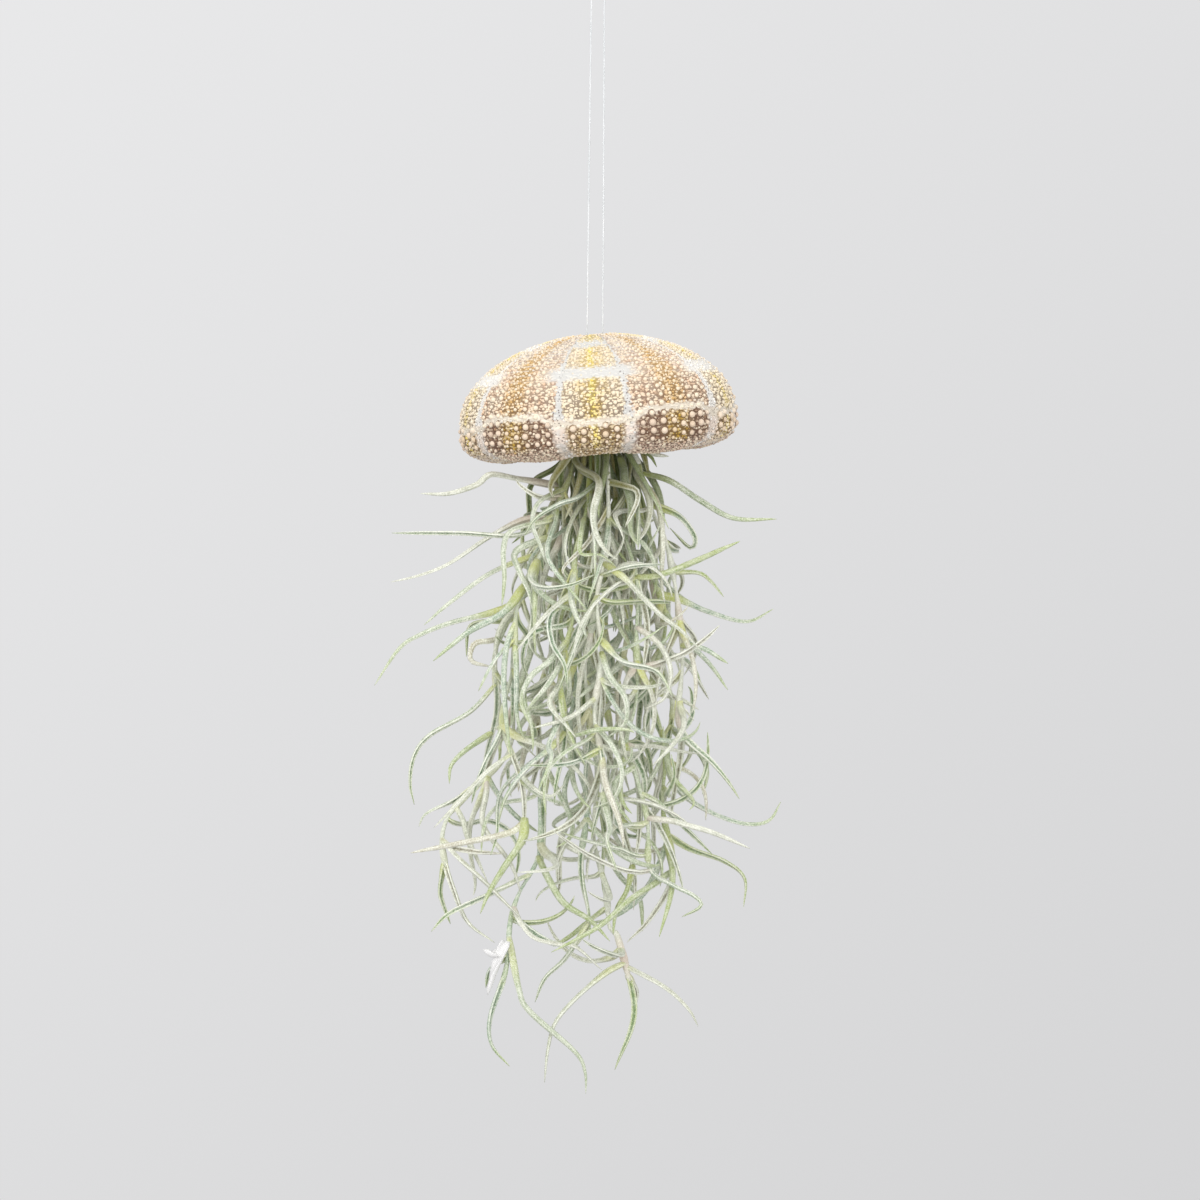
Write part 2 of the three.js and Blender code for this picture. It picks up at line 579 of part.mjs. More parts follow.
// A leaf that leaves its stem, swings out to its own slope and then droops or lifts towards the tip.
function archedLeaf(root, shape) {
  const points = [root.clone()];
  const step = shape.length / FINE_STEPS;
  for (let i = 0; i < FINE_STEPS; i++) {
    const share = (i + 0.5) / FINE_STEPS;
    const opening = Math.min(1, share / LEAF_OPEN_AT);
    const bend = Math.max(0, (share - LEAF_OPEN_AT) / (1 - LEAF_OPEN_AT));
    const slope = shape.opening * (0.45 + 0.55 * opening * (2 - opening)) + shape.bend * bend;
    const facing = shape.facing + shape.twist * share * share;
    const next = points[i].clone();
    next.x += step * Math.sin(slope) * Math.cos(facing);
    next.y += step * Math.sin(slope) * Math.sin(facing);
    next.z -= step * Math.cos(slope);
    points.push(next);
  }
  return points;
}

// The shortest distance between two straight stretches.
function stretchDistance(a, b, c, d) {
  const u = b.clone().sub(a);
  const v = d.clone().sub(c);
  const w = a.clone().sub(c);
  const [uu, uv, vv, uw, vw] = [u.dot(u), u.dot(v), v.dot(v), u.dot(w), v.dot(w)];
  const bottom = uu * vv - uv * uv;
  let s = bottom > 1e-9 ? THREE.MathUtils.clamp((uv * vw - vv * uw) / bottom, 0, 1) : 0;
  const t = THREE.MathUtils.clamp((uv * s + vw) / vv, 0, 1);
  s = THREE.MathUtils.clamp((uv * t - uw) / uu, 0, 1);
  return w.addScaledVector(u, s).addScaledVector(v, -t).length();
}

// Every stretch of stem and leaf that is already placed.
const placed = [];

function remember(points, radii, strand, isStem) {
  for (let i = 1; i < points.length; i++) {
    const middle = points[i].clone().lerp(points[i - 1], 0.5);
    const reach = points[i].distanceTo(points[i - 1]) / 2 + radii[i - 1];
    placed.push({ a: points[i - 1], b: points[i], radius: radii[i - 1], strand, isStem, middle, reach });
  }
}

// True if a leaf meets no other strand, nor its own strand past the leaf's first stretches.
function hasRoom(points, radii, strand) {
  for (let i = 1; i < points.length; i++) {
    if (!clearOfShell(points[i], radii[i])) return false;
    const middle = points[i].clone().lerp(points[i - 1], 0.5);
    const reach = points[i].distanceTo(points[i - 1]) / 2 + radii[i - 1];
    for (const other of placed) {
      const own = other.strand === strand;
      if (own && i <= (other.isStem ? 2 : 1)) continue;
      if (middle.distanceTo(other.middle) > reach + other.reach + GAP) continue;
      const apart = stretchDistance(points[i - 1], points[i], other.a, other.b);
      if (apart < radii[i - 1] + other.radius + (own ? 0 : GAP)) return false;
    }
  }
  return true;
}

function insideBunch(point) {
  const rows = BUNCH_OUTLINE;
  if (point.z > rows[0][0] || point.z < rows[rows.length - 1][0]) return false;
  const k = rows.findIndex((row) => row[0] <= point.z);
  const [low, high] = [rows[Math.max(1, k)], rows[Math.max(1, k) - 1]];
  const share = (point.z - high[0]) / (low[0] - high[0]);
  const radius = high[1] + (low[1] - high[1]) * share;
  return Math.hypot(point.x - (high[2] + (low[2] - high[2]) * share), point.y) < radius;
}

function everyNth(points, step) {
  return points.filter((_, i) => i % step === 0);
}

function radiiAlong(points) {
  return points.map((_, i) => leafRadius(i / (points.length - 1)));
}

// The stem's point at a height.
function stemAt(stem, z) {
  const i = stem.findIndex((p) => p.z <= z);
  const [high, low] = [stem[i - 1], stem[i]];
  return high.clone().lerp(low, (high.z - z) / (high.z - low.z));
}

// The stems are as straight between their steps as the solids are, so every leaf starts inside its stem.
const stems = STRANDS.map((strand, i) => {
  const fine = stemPoints(strand, i);
  return evenPoints(fine, Math.round(lengthOf(fine) / STEM_STEP));
});
const stemRadii = stems.map((stem) => {
  const long = lengthOf(stem);
  return stem.map((_, i) => stemRadius((long * i) / (stem.length - 1), long));
});
stems.forEach((stem, i) => remember(stem, stemRadii[i], i, true));

const leaves = STRANDS.map(() => []);

// The reaching leaves come first, each shifted in depth until it is clear.
for (const [number, height, ...rest] of REACHING_LEAVES) {
  const strand = number - 1;
  const root = stemAt(stems[strand], height);
  DEPTH_SHIFTS.some((shift) => {
    const through = rest.map(([x, y, z], i) => {
      const share = Math.min(1, (i + 1) / 2);
      return new THREE.Vector3(x, y + shift * share, z);
    });
    const fine = smoothed([root, ...through], REACHING_FINE_STEPS);
    const wanted = Math.round(lengthOf(fine) / REACHING_STEP);
    const stretches = THREE.MathUtils.clamp(wanted, ...REACHING_STRETCHES);
    const points = evenPoints(fine, stretches);
    const radii = radiiAlong(points);
    if (!hasRoom(points, radii, strand)) return false;
    leaves[strand].push({ points, radii });
    remember(points, radii, strand, false);
    return true;
  });
}

// Then each stem gets its leaves node by node, turned on by the same angle each time.
const draw = seededDraws(SEED);
const between = ([low, high]) => low + (high - low) * draw();

function ruledLeaf(root, strand, facing) {
  for (let i = 0; i < TRIES; i++) {
    const shape = {
      facing: facing + between(LEAF_RANGES.facing),
      opening: between(LEAF_RANGES.opening),
      bend: between(LEAF_RANGES.bend),
      twist: between(LEAF_RANGES.twist),
      length: between(LEAF_RANGES.length),
    };
    const fine = archedLeaf(root, shape);
    const points = everyNth(fine, FINE_STEPS / LEAF_STEPS);
    const radii = radiiAlong(points);
    if (points.slice(2).every(insideBunch) && hasRoom(points, radii, strand)) {
      leaves[strand].push({ points, radii });
      remember(points, radii, strand, false);
      return;
    }
  }
}

const nodeCount = Math.max(...stems.map((stem) => Math.floor((lengthOf(stem) - FIRST_NODE) / NODE_SPACING)));
for (let node = 0; node < nodeCount; node++)
  stems.forEach((stem, strand) => {
    const distance = FIRST_NODE + (node + (strand % 3) / 3) * NODE_SPACING;
    if (distance > lengthOf(stem) - TERMINAL_LEAF * 0.7) return;
    const facing = node * NODE_TURN + strand * STRAND_TURN;
    for (const turn of [0, Math.PI])
      ruledLeaf(pointAt(stem, distance), strand, facing + turn);
  });

function strandGeometry(strand) {
  const stem = toSolid(taperedTube(stems[strand], stemRadii[strand], STEM_SIDES));
  const blades = leaves[strand].map(({ points, radii }) => toSolid(taperedTube(points, radii, LEAF_SIDES)));
  return toGeometry(blades.reduce((all, blade) => all.add(blade), stem));
}

// The height of the shell's inside over a distance from its axis.
function insideHeight(r) {
  const share = r / (SHELL_RADIUS - SHELL_WALL);
  return SHELL_WIDEST_AT + (DOME_RISE - SHELL_WALL) * Math.sqrt(1 - share * share);
}

// The crown: the folded tops of the strands, a small core with arms that arch over and down,
// in the shell's own frame, just under its inside.
function crownGeometry() {
  const core = new THREE.LatheGeometry(CROWN_CORE.map(([r, z]) => new THREE.Vector2(r, z)), CROWN_CORE_SIDES);
  core.rotateX(Math.PI / 2);
  const pieces = [toSolid(core)];
  const under = GAP + STEM_RADIUS + ARM_CLEARANCE;
  const shoulder = insideHeight(ARM_SHOULDER) - under;
  CROWN_ARMS.forEach((degrees, i) => {
    const turn = THREE.MathUtils.degToRad(degrees);
    const route = [
      ARM_START,
      ...ARM_CRESTS.map((r) => [r, insideHeight(r) - under]),
      [ARM_SHOULDER, shoulder - ARM_SHOULDER_DROP],
      ...ARM_DROOP.map(([r, drop, more]) => [r, shoulder - drop - more * (i % 3)]),
    ].map(([r, z]) => new THREE.Vector3(r * Math.cos(turn), r * Math.sin(turn), z));
    const radii = route.map((_, k) => STEM_RADIUS - (ARM_TAPER * k) / (route.length - 1));
    pieces.push(toSolid(taperedTube(route, radii, STEM_SIDES)));
  });
  return toGeometry(pieces.reduce((all, piece) => all.add(piece))).applyMatrix4(shellFrame);
}

// The whole part

const shellMaterial = new THREE.MeshStandardMaterial({ color: SHELL_COLOUR, roughness: 0.7, metalness: 0 });
const mossMaterial = new THREE.MeshStandardMaterial({ color: MOSS_COLOUR, roughness: 0.85, metalness: 0 });
const lineMaterial = new THREE.MeshStandardMaterial({ color: LINE_COLOUR, roughness: 0.2, metalness: 0 });

const part = new THREE.Group();
part.add(named("hang_loop", loopGeometry(), lineMaterial));
part.add(named("line_left", lineStrand(-1, LINE_IN_HOLE_X[0]), lineMaterial));
part.add(named("line_right", lineStrand(1, LINE_IN_HOLE_X[1]), lineMaterial));
part.add(named("line_tie", tieGeometry(), lineMaterial));

const shell = named("urchin_shell", shellGeometry(), shellMaterial);
shell.applyMatrix4(shellFrame);
part.add(shell);
part.add(named("moss_crown", crownGeometry(), mossMaterial));
STRANDS.forEach((_, i) => {
  part.add(named(`strand_${String(i + 1).padStart(2, "0")}`, strandGeometry(i), mossMaterial));
});

export default part;
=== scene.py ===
# %% [markdown]
# # Spanish moss in a sea-urchin shell
# A cleaned urchin shell hangs mouth down on a clear line, and a bunch of thick-leaved spanish moss
# hangs out of its mouth, so that the two look like a jellyfish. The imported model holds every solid
# at its real place. This lesson dresses those solids: grooved, scurfy leaves, a knobbly banded
# shell and the clear line.

# %% The frame
import math

import bpy
import numpy as np
from mathutils import Matrix, Vector


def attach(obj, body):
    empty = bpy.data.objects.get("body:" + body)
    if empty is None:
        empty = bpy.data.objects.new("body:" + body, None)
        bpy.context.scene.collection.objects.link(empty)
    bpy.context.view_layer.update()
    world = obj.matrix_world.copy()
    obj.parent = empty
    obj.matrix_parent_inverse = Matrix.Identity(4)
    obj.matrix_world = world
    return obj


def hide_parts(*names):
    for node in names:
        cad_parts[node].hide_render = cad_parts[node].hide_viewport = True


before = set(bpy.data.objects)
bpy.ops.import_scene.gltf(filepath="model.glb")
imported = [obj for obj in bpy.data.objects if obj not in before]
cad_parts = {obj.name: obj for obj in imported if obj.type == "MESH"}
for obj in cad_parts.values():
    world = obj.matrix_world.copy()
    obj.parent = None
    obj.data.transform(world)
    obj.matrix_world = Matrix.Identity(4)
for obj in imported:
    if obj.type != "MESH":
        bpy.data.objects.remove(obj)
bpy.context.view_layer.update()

BODY = "root"
MM = 0.001
print("solids in the frame:", len(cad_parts))

# %% [markdown]
# ## The camera
# The ornament was photographed level and from the front, with a long lens, so that its uprights
# stay parallel. A 135 mm lens 1.5 m away shows 400 mm of it, which is the width of the picture at
# the line.

# %% Camera
VIEW_CENTRE = Vector((0.7, 0, -215)) * MM
VIEW_WIDTH = 400 * MM
CAMERA_DISTANCE = 1500 * MM

bpy.ops.object.camera_add(
    location=VIEW_CENTRE - Vector((0, CAMERA_DISTANCE, 0)), rotation=(math.pi / 2, 0, 0)
)
camera = bpy.context.object
camera.name = "camera"
camera.data.lens = camera.data.sensor_width * CAMERA_DISTANCE / VIEW_WIDTH
bpy.context.scene.camera = camera
print("lens:", round(camera.data.lens), "mm")

# %% [markdown]
# ## Small tools for curves
# Lines, stems and leaves are all long and round, so one tool serves them: a curve with a row of
# points, and an outline that Blender carries along it. The outline's size follows each point's
# radius, so a leaf can taper.

# %% Curve tools
ROUND_STEPS = 3


def smoothed(points, per_span):
    """Points along a smooth curve through the given ones, some to each span."""
    given = np.array(points, float)
    ends = np.vstack([2 * given[0] - given[1], given, 2 * given[-1] - given[-2]])
    rows = []
    for i in range((len(given) - 1) * per_span + 1):
        k = min(i // per_span, len(given) - 2)
        t = i / per_span - k
        before, here, after, last = ends[k : k + 4]
        start, end = 0.5 * (after - before), 0.5 * (last - here)
        rows.append(
            here
            + start * t
            + (3 * (after - here) - 2 * start - end) * t * t
            + (2 * (here - after) + start + end) * t**3
        )
    return np.array(rows)


def walked(points):
    """How far along a row of points each of them lies."""
    steps = np.linalg.norm(np.diff(points, axis=0), axis=1)
    return np.concatenate([[0], np.cumsum(steps)])


def point_at(points, distance):
    """The point some distance along a row of points."""
    far = walked(points)
    return np.array([np.interp(distance, far, points[:, k]) for k in range(3)])


def even_points(points, count):
    """The same row cut into stretches of equal length."""
    far = walked(points)
    places = np.linspace(0, far[-1], count + 1)
    return np.column_stack([np.interp(places, far, points[:, k]) for k in range(3)])


def select_only(thing):
    bpy.ops.object.select_all(action="DESELECT")
    thing.select_set(True)
    bpy.context.view_layer.objects.active = thing


def curve_of(name, rows, bevel_depth=0.0, section=None):
    """A curve with one spline for each row: points in millimetres, radii and tilts."""
    data = bpy.data.curves.new(name, "CURVE")
    data.dimensions = "3D"
    data.use_fill_caps = section is None
    if section is None:
        data.bevel_depth = bevel_depth
        data.bevel_resolution = ROUND_STEPS
    else:
        data.bevel_mode = "OBJECT"
        data.bevel_object = section
    for points, radii, tilts in rows:
        spline = data.splines.new("POLY")
        spline.points.add(len(points) - 1)
        places = np.column_stack([points * MM, np.ones(len(points))])
        spline.points.foreach_set("co", places.ravel())
        spline.points.foreach_set("radius", radii)
        spline.points.foreach_set("tilt", tilts)
    thing = bpy.data.objects.new(name, data)
    bpy.context.collection.objects.link(thing)
    return thing


def to_mesh(thing):
    select_only(thing)
    bpy.ops.object.convert(target="MESH")
    return bpy.context.object


def ride_and_slot(piece, slot, *nodes):
    """Puts a piece on its body and hides the solids that it stands for; the slot, its finish, is not
    used.
    """
    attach(piece, BODY)
    if nodes:
        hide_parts(*nodes)
    return piece


# %% [markdown]
# ## The line
# Half-millimetre clear nylon. It starts at the tie round the moss, comes out of the shell's top
# hole, turns over the hook and goes back down to the tie, so both its ends are on the object. The
# photo shows the two strands up to its top edge, and the loop and its knot lie just above that. The
# route repeats the solids' route.

# %% Line
LINE_RADIUS = 0.25
LOOP_RADIUS = 2.15
LOOP_LENGTH = 12
LINE_CENTRE_X = -1
TIE_HEIGHT = -141
TIE_RADIUS = 6.85
GAP = 0.3
LINE_FOOT_RISE = 3.2
LINE_UNDER_HOLE = (1.1, -129.5)
LINE_IN_HOLE_X = {-1: -3.67, 1: 1.67}
LINE_IN_HOLE_Z = -125.5
LINE_FREE = [(0.3, -92), (0.7, -46)]
LINE_STEPS = 8
LOOP_STEPS = 6


def line_side(side):
    """One side's points from the tie up to the loop."""
    tie_x = LINE_CENTRE_X + side * TIE_RADIUS
    foot = TIE_HEIGHT + 2 * LINE_RADIUS + GAP
    hole_x, top_x = LINE_IN_HOLE_X[side], side * LOOP_RADIUS
    out, under = LINE_UNDER_HOLE
    return [
        (tie_x, 0, foot),
        (tie_x, 0, foot + LINE_FOOT_RISE),
        (hole_x + side * out, 0, under),
        (hole_x, 0, LINE_IN_HOLE_Z),
        *[(hole_x + (top_x - hole_x) * share, 0, z) for share, z in LINE_FREE],
        (top_x, 0, -LOOP_LENGTH - GAP),
    ]


def over_the_hook():
    middle = LINE_RADIUS - LOOP_RADIUS
    arc = [math.pi * (1 - i / LOOP_STEPS) for i in range(LOOP_STEPS + 1)]
    return [(LOOP_RADIUS * math.cos(a), 0, middle + LOOP_RADIUS * math.sin(a)) for a in arc]


route = smoothed(line_side(-1) + over_the_hook() + line_side(1)[::-1], LINE_STEPS)
print("line, measured:", round(walked(route)[-1] * MM, 4), "m")

# %% [markdown]
# The knot is a few turns of the same line round its own leg, with the two tags left long, and the
# tie is a few turns round the moss inside the shell. A spring-shaped row of points makes both.

# %% Knot and tie
SPRING_STEPS = 14
KNOT_RADIUS = 0.5
KNOT_TURNS = 4
KNOT_HEIGHTS = (-10.3, -8.3)
UPPER_TAG = [(0.5, 0.1, -8.4), (1.5, 0.4, -8.0), (2.8, 0.5, -7.3)]
LOWER_TAG = [(0.5, -0.1, -10.1), (1.6, -0.3, -10.6), (3, -0.4, -12)]
TAG_STEPS = 6
TIE_TURNS = 3
TIE_HEIGHTS = (TIE_HEIGHT - 0.5, TIE_HEIGHT + 0.5)


def spring(centre, radius, low, high, turns):
    """Points round an upright axis, from the low height to the high one."""
    count = SPRING_STEPS * turns
    a = np.linspace(0, 2 * math.pi * turns, count)
    heights = np.linspace(low, high, count)
    return np.column_stack([centre + radius * np.cos(a), radius * np.sin(a), heights])


def tag(points):
    """A cut end of the line, beside the loop's right side."""
    return smoothed([(LOOP_RADIUS + x, y, z) for x, y, z in points], TAG_STEPS)


def line_pieces(name, rows):
    flat = [(row, np.ones(len(row)), np.zeros(len(row))) for row in rows]
    piece = to_mesh(curve_of(name, flat, LINE_RADIUS * MM))
    bpy.ops.object.shade_smooth()
    return piece


hanging_line = line_pieces("hanging_line", [route])
knot_coil = spring(LOOP_RADIUS, KNOT_RADIUS, *KNOT_HEIGHTS, KNOT_TURNS)
tie_coil = spring(LINE_CENTRE_X, TIE_RADIUS, *TIE_HEIGHTS, TIE_TURNS)
loop_knot = line_pieces("loop_knot", [knot_coil, tag(UPPER_TAG), tag(LOWER_TAG)])
tie_turns = line_pieces("tie_turns", [tie_coil])
print("turns:", KNOT_TURNS, "in the knot and", TIE_TURNS, "round the moss")

# %% [markdown]
# The line is a free cord. Its pieces ride on the body, in place of the solids of the line, its
# loop and its tie.

ride_and_slot(hanging_line, "line", "line_left", "line_right", "hang_loop")
ride_and_slot(loop_knot, "line")
ride_and_slot(tie_turns, "line", "line_tie")

# %% [markdown]
# ## The shell
# An urchin's shell is a flattened dome, ten panels round, that turns in below to a wide mouth. Its
# outline is half an ellipse above and a squarer curve below, with a slight rise inwards to the
# mouth. A ring of points is laid on the outline of the wall, out and back, and spun round the
# upright axis: one closed wall with both holes in it and no pole to tidy.

# %% The shell's outline
SHELL_RADIUS = 45.9
SHELL_WIDEST_AT = 13
DOME_RISE = 28
BELLY_DROP = 13.6
NARROW_PANEL_LIFT = 1.4
BASE_RING_RADIUS = 33
MOUTH_RADIUS = 19
MOUTH_RISE = 5.5
TOP_HOLE_RADIUS = 4.8
SHELL_WALL = 1.6
FIVE_SIDED_SWELL = 0.01
SHELL_PLACE = (1, 1.8, -167.3)
SHELL_LEAN = math.radians(4.5)
SHELL_NOD = math.radians(2.5)
BELLY_SQUARENESS = 4
OUTLINE_STEPS = 400
OUTER_SPACING = 0.8
INNER_SPACING = 3


def outline(inset, spacing):
    """Radius and height of rows a given distance apart, from the top hole's rim to the mouth's."""
    radius, rise, drop = SHELL_RADIUS - inset, DOME_RISE - inset, BELLY_DROP - inset
    a = np.linspace(math.asin(TOP_HOLE_RADIUS / radius), math.pi / 2, OUTLINE_STEPS)
    dome = np.column_stack([radius * np.sin(a), SHELL_WIDEST_AT + rise * np.cos(a)])
    share = (1 - np.cos(np.linspace(0, math.pi, OUTLINE_STEPS)[1:])) / 2
    r = radius + (BASE_RING_RADIUS - radius) * share
    squared = np.clip(1 - (r / radius) ** BELLY_SQUARENESS, 0, 1)
    curve = squared ** (1 / BELLY_SQUARENESS)
    belly = np.column_stack([r, SHELL_WIDEST_AT - drop * curve])
    share = np.linspace(0, 1, OUTLINE_STEPS)[1:]
    r = BASE_RING_RADIUS + (MOUTH_RADIUS - BASE_RING_RADIUS) * share
    base = np.column_stack([r, belly[-1, 1] + MOUTH_RISE * share**2])
    dense = np.vstack([dome, belly, base])
    far = walked(dense)
    places = np.linspace(0, far[-1], int(round(far[-1] / spacing)) + 1)
    rows = [np.interp(places, far, dense[:, k]) for k in range(2)]
    return np.column_stack(rows), places


outer_rows, outer_walk = outline(0, OUTER_SPACING)
inner_rows, inner_walk = outline(SHELL_WALL, INNER_SPACING)
print("outline:", len(outer_rows), "points outside and", len(inner_rows), "inside")

# %% [markdown]
# Two facts go with each point into the spin: how far down the outline it lies, and whether it is
# outside. The spin copies them, so the relief and the colours can follow the panels later.

# %% The wall
SHELL_STEPS = 400
SAME_PLACE = 0.0005


def spin_round(steps, same_place, inside=False):
    """Spins the active outline round the upright axis into one closed surface."""
    bpy.ops.object.mode_set(mode="EDIT")
    bpy.ops.mesh.select_all(action="SELECT")
    bpy.ops.mesh.spin(steps=steps, angle=2 * math.pi, center=(0, 0, 0), axis=(0, 0, 1))
    bpy.ops.mesh.select_all(action="SELECT")
    bpy.ops.mesh.remove_doubles(threshold=same_place)
    bpy.ops.mesh.normals_make_consistent(inside=inside)
    bpy.ops.object.mode_set(mode="OBJECT")


def wall_of_revolution():
    rows = np.vstack([outer_rows, inner_rows[::-1]])
    bpy.ops.mesh.primitive_circle_add(vertices=len(rows), radius=1, fill_type="NOTHING")
    wall = bpy.context.object
    mesh = wall.data
    for vertex, (r, z) in zip(mesh.vertices, rows):
        vertex.co = (r, 0, z)
    walk = mesh.attributes.new("walk", "FLOAT", "POINT")
    walk.data.foreach_set("value", np.concatenate([outer_walk, inner_walk[::-1]]))
    outside = mesh.attributes.new("outside", "FLOAT", "POINT")
    flags = np.concatenate([np.ones(len(outer_rows)), np.zeros(len(inner_rows))])
    outside.data.foreach_set("value", flags)
    spin_round(SHELL_STEPS, SAME_PLACE)
    return wall


shell_wall = wall_of_revolution()
shell_wall.name = "shell_wall"
print("wall:", len(shell_wall.data.polygons), "faces")

# %% [markdown]
# The relief comes next. Five narrow panels, with the rows of pores along their edges, lie between
# five wide ones, and one narrow panel faces the viewer. Every point gets its place in that plan:
# "fold" runs from 0 at a narrow panel's middle to 1 at a wide panel's middle, "height" is how high
# it lies, "row" counts the rows of plates and "front" marks the panels in front. Plates swell a
# little between their seams, and the pore rows lie a little low.

# %% The plan of the panels
PANEL_TURN = math.radians(268.4)
SECTOR = math.radians(72)
HALF_SECTOR_DEGREES = 36
PORE_ROW_DEGREES = 14.6
FRONT_PORE_ROW_HALF = 1.4
OTHER_PORE_ROW_HALF = 2.1
PORE_ROW_WIDENING = 1.5
LOWER_BAND_AT = 12.0
LOWER_BAND_HALF = 1.3
LOWER_BAND_CLIMB = 3.1
UPPER_BAND_AT = 28.0
UPPER_BAND_HALF = 2.0
CLIMB_DEGREES = (15, 24)
FIRST_ROW_WALK = 1.4
LAST_ROW_GAP = 2.6
TALLEST_ROW_WALK = 46
LEAST_ROW_PITCH = 1.3
ROW_PITCH_GROWTH = 1.65


def fold_of(turn):
    """0 at the middle of a narrow panel, 1 at the middle of a wide one."""
    offset = (turn - PANEL_TURN + SECTOR / 2) % SECTOR - SECTOR / 2
    return np.abs(offset) / (SECTOR / 2)


def in_front(turn):
    """1 in the front narrow panel and the halves of the wide ones beside it, 0 elsewhere."""
    offset = np.abs((turn - PANEL_TURN + math.pi) % (2 * math.pi) - math.pi)
    return np.where(offset < SECTOR / 2, 1, 0)


def pore_row_half(turn):
    """Half a pore row's width in degrees: the front panel's two rows are the narrowest."""
    return np.where(in_front(turn) > 0, FRONT_PORE_ROW_HALF, OTHER_PORE_ROW_HALF)


def swell(turn):
    return 1 + FIVE_SIDED_SWELL * np.cos(5 * (turn - math.pi / 2))


def lift(turn, height):
    """How much higher the underside lies towards the narrow panels."""
    low = np.maximum(0, (SHELL_WIDEST_AT - height) / BELLY_DROP)
    return NARROW_PANEL_LIFT * low**2 * (1 - np.cos(5 * (turn - math.pi / 2))) / 2


def plate_rows():
    """How far down the outline each row of plates lies; plates are tallest at the belly."""
    rows = [FIRST_ROW_WALK]
    while rows[-1] < outer_walk[-1] - LAST_ROW_GAP:
        tall = min(1, rows[-1] / TALLEST_ROW_WALK)
        rows.append(rows[-1] + LEAST_ROW_PITCH + ROW_PITCH_GROWTH * tall)
    return np.array(rows)


rows_down = plate_rows()
row_numbers = np.arange(len(rows_down))
print("rows of plates:", len(rows_down))

# %% [markdown]
# The plates are low swells in the wall, one to each row, and the strips of pores lie a little below
# them. Every point of the outside is moved along its own normal, so the relief stays even all
# round, and it keeps its place in the plan as named facts for the finishes.

# %% Relief
PLATE_SWELL = 0.14
PORE_ROW_DEPTH = 0.16
PLAIN_RIM = 3


def read(mesh, name):
    values = np.empty(len(mesh.vertices))
    mesh.attributes[name].data.foreach_get("value", values)
    return values


def points_of(mesh):
    co = np.empty(len(mesh.vertices) * 3)
    mesh.vertices.foreach_get("co", co)
    return co.reshape(-1, 3)


def normals_of(mesh):
    normal = np.empty(len(mesh.vertices) * 3)
    mesh.vertex_normals.foreach_get("vector", normal)
    return normal.reshape(-1, 3)


def place_points(mesh, co):
    mesh.vertices.foreach_set("co", co.ravel())
    mesh.update()


def write(mesh, name, values):
    layer = mesh.attributes.get(name) or mesh.attributes.new(name, "FLOAT", "POINT")
    layer.data.foreach_set("value", np.asarray(values, dtype=np.float32))


def carve_relief(mesh):
    co, normal = points_of(mesh), normals_of(mesh)
    turn = np.arctan2(co[:, 1], co[:, 0])
    fold = fold_of(turn)
    walk, outside = read(mesh, "walk"), read(mesh, "outside")
    phase = np.interp(walk, rows_down, row_numbers)
    plates = PLATE_SWELL * np.cos(2 * math.pi * phase)
    half = pore_row_half(turn)
    edge = np.abs(fold * HALF_SECTOR_DEGREES - PORE_ROW_DEGREES) / half
    pore_rows = PORE_ROW_DEPTH * np.exp(-(edge**4))
    rims = np.clip(np.minimum(walk, outer_walk[-1] - walk) / PLAIN_RIM, 0, 1)
    height = co[:, 2].copy()
    co[:, :2] *= np.column_stack([swell(turn)] * 2)
    co[:, 2] += lift(turn, height)
    co += normal * (outside * rims * (plates - pore_rows))[:, None]
    place_points(mesh, co)
    write(mesh, "fold", fold)
    write(mesh, "height", height)
    write(mesh, "row", phase)
    write(mesh, "front", in_front(turn))
    spread = mesh.attributes.new("spread", "FLOAT_VECTOR", "POINT")
    narrowed = np.column_stack([co[:, 0] / 2, co[:, 1] / 2, walk])
    spread.data.foreach_set("vector", narrowed.astype(np.float32).ravel())


carve_relief(shell_wall.data)
print("plates swell", PLATE_SWELL, "mm and pores lie", PORE_ROW_DEPTH, "mm low")

# %% [markdown]
# ## Knobs and granules
# A sea urchin's spines sat on round knobs, each with a smooth pearl in a darker ring, in rows down
# and across the panels: largest at the belly and small towards the top. Between them the shell is
# covered with granules. One knob and one granule are modelled with a few extrusions, and each place
# on the shell gets a copy.

# %% One knob and one granule
def turned(name, rings, sides):
    """A closed round piece: a disc whose face is extruded up through rings of radius and height."""
    first_radius, first_height = rings[0]
    bpy.ops.mesh.primitive_circle_add(
        vertices=sides, radius=first_radius, fill_type="NGON", location=(0, 0, first_height)
    )
    piece = bpy.context.object
    bpy.ops.object.transform_apply()
    bpy.ops.object.mode_set(mode="EDIT")
    bpy.ops.mesh.select_all(action="SELECT")
    for (radius, height), (next_radius, next_height) in zip(rings, rings[1:]):
        rise = {"value": (0, 0, next_height - height)}
        bpy.ops.mesh.extrude_region_move(TRANSFORM_OT_translate=rise)
        size = next_radius / radius
        bpy.ops.transform.resize(value=(size, size, 1), center_override=(0, 0, next_height))
    bpy.ops.mesh.select_all(action="SELECT")
    bpy.ops.mesh.normals_make_consistent(inside=False)
    bpy.ops.object.mode_set(mode="OBJECT")
    piece.name = name
    return piece


KNOB_RINGS = [(1.65, -0.3), (1.32, 0.14), (1.02, 0.02), (1, 0.4), (0.78, 0.82), (0.3, 1.08)]
GRANULE_RINGS = [(1, -0.25), (0.85, 0.45), (0.35, 0.8)]
KNOB_SIDES = 8
GRANULE_SIDES = 5
knob_model = turned("knob_model", KNOB_RINGS, KNOB_SIDES)
granule_model = turned("granule_model", GRANULE_RINGS, GRANULE_SIDES)
print("faces in a knob:", len(knob_model.data.polygons))

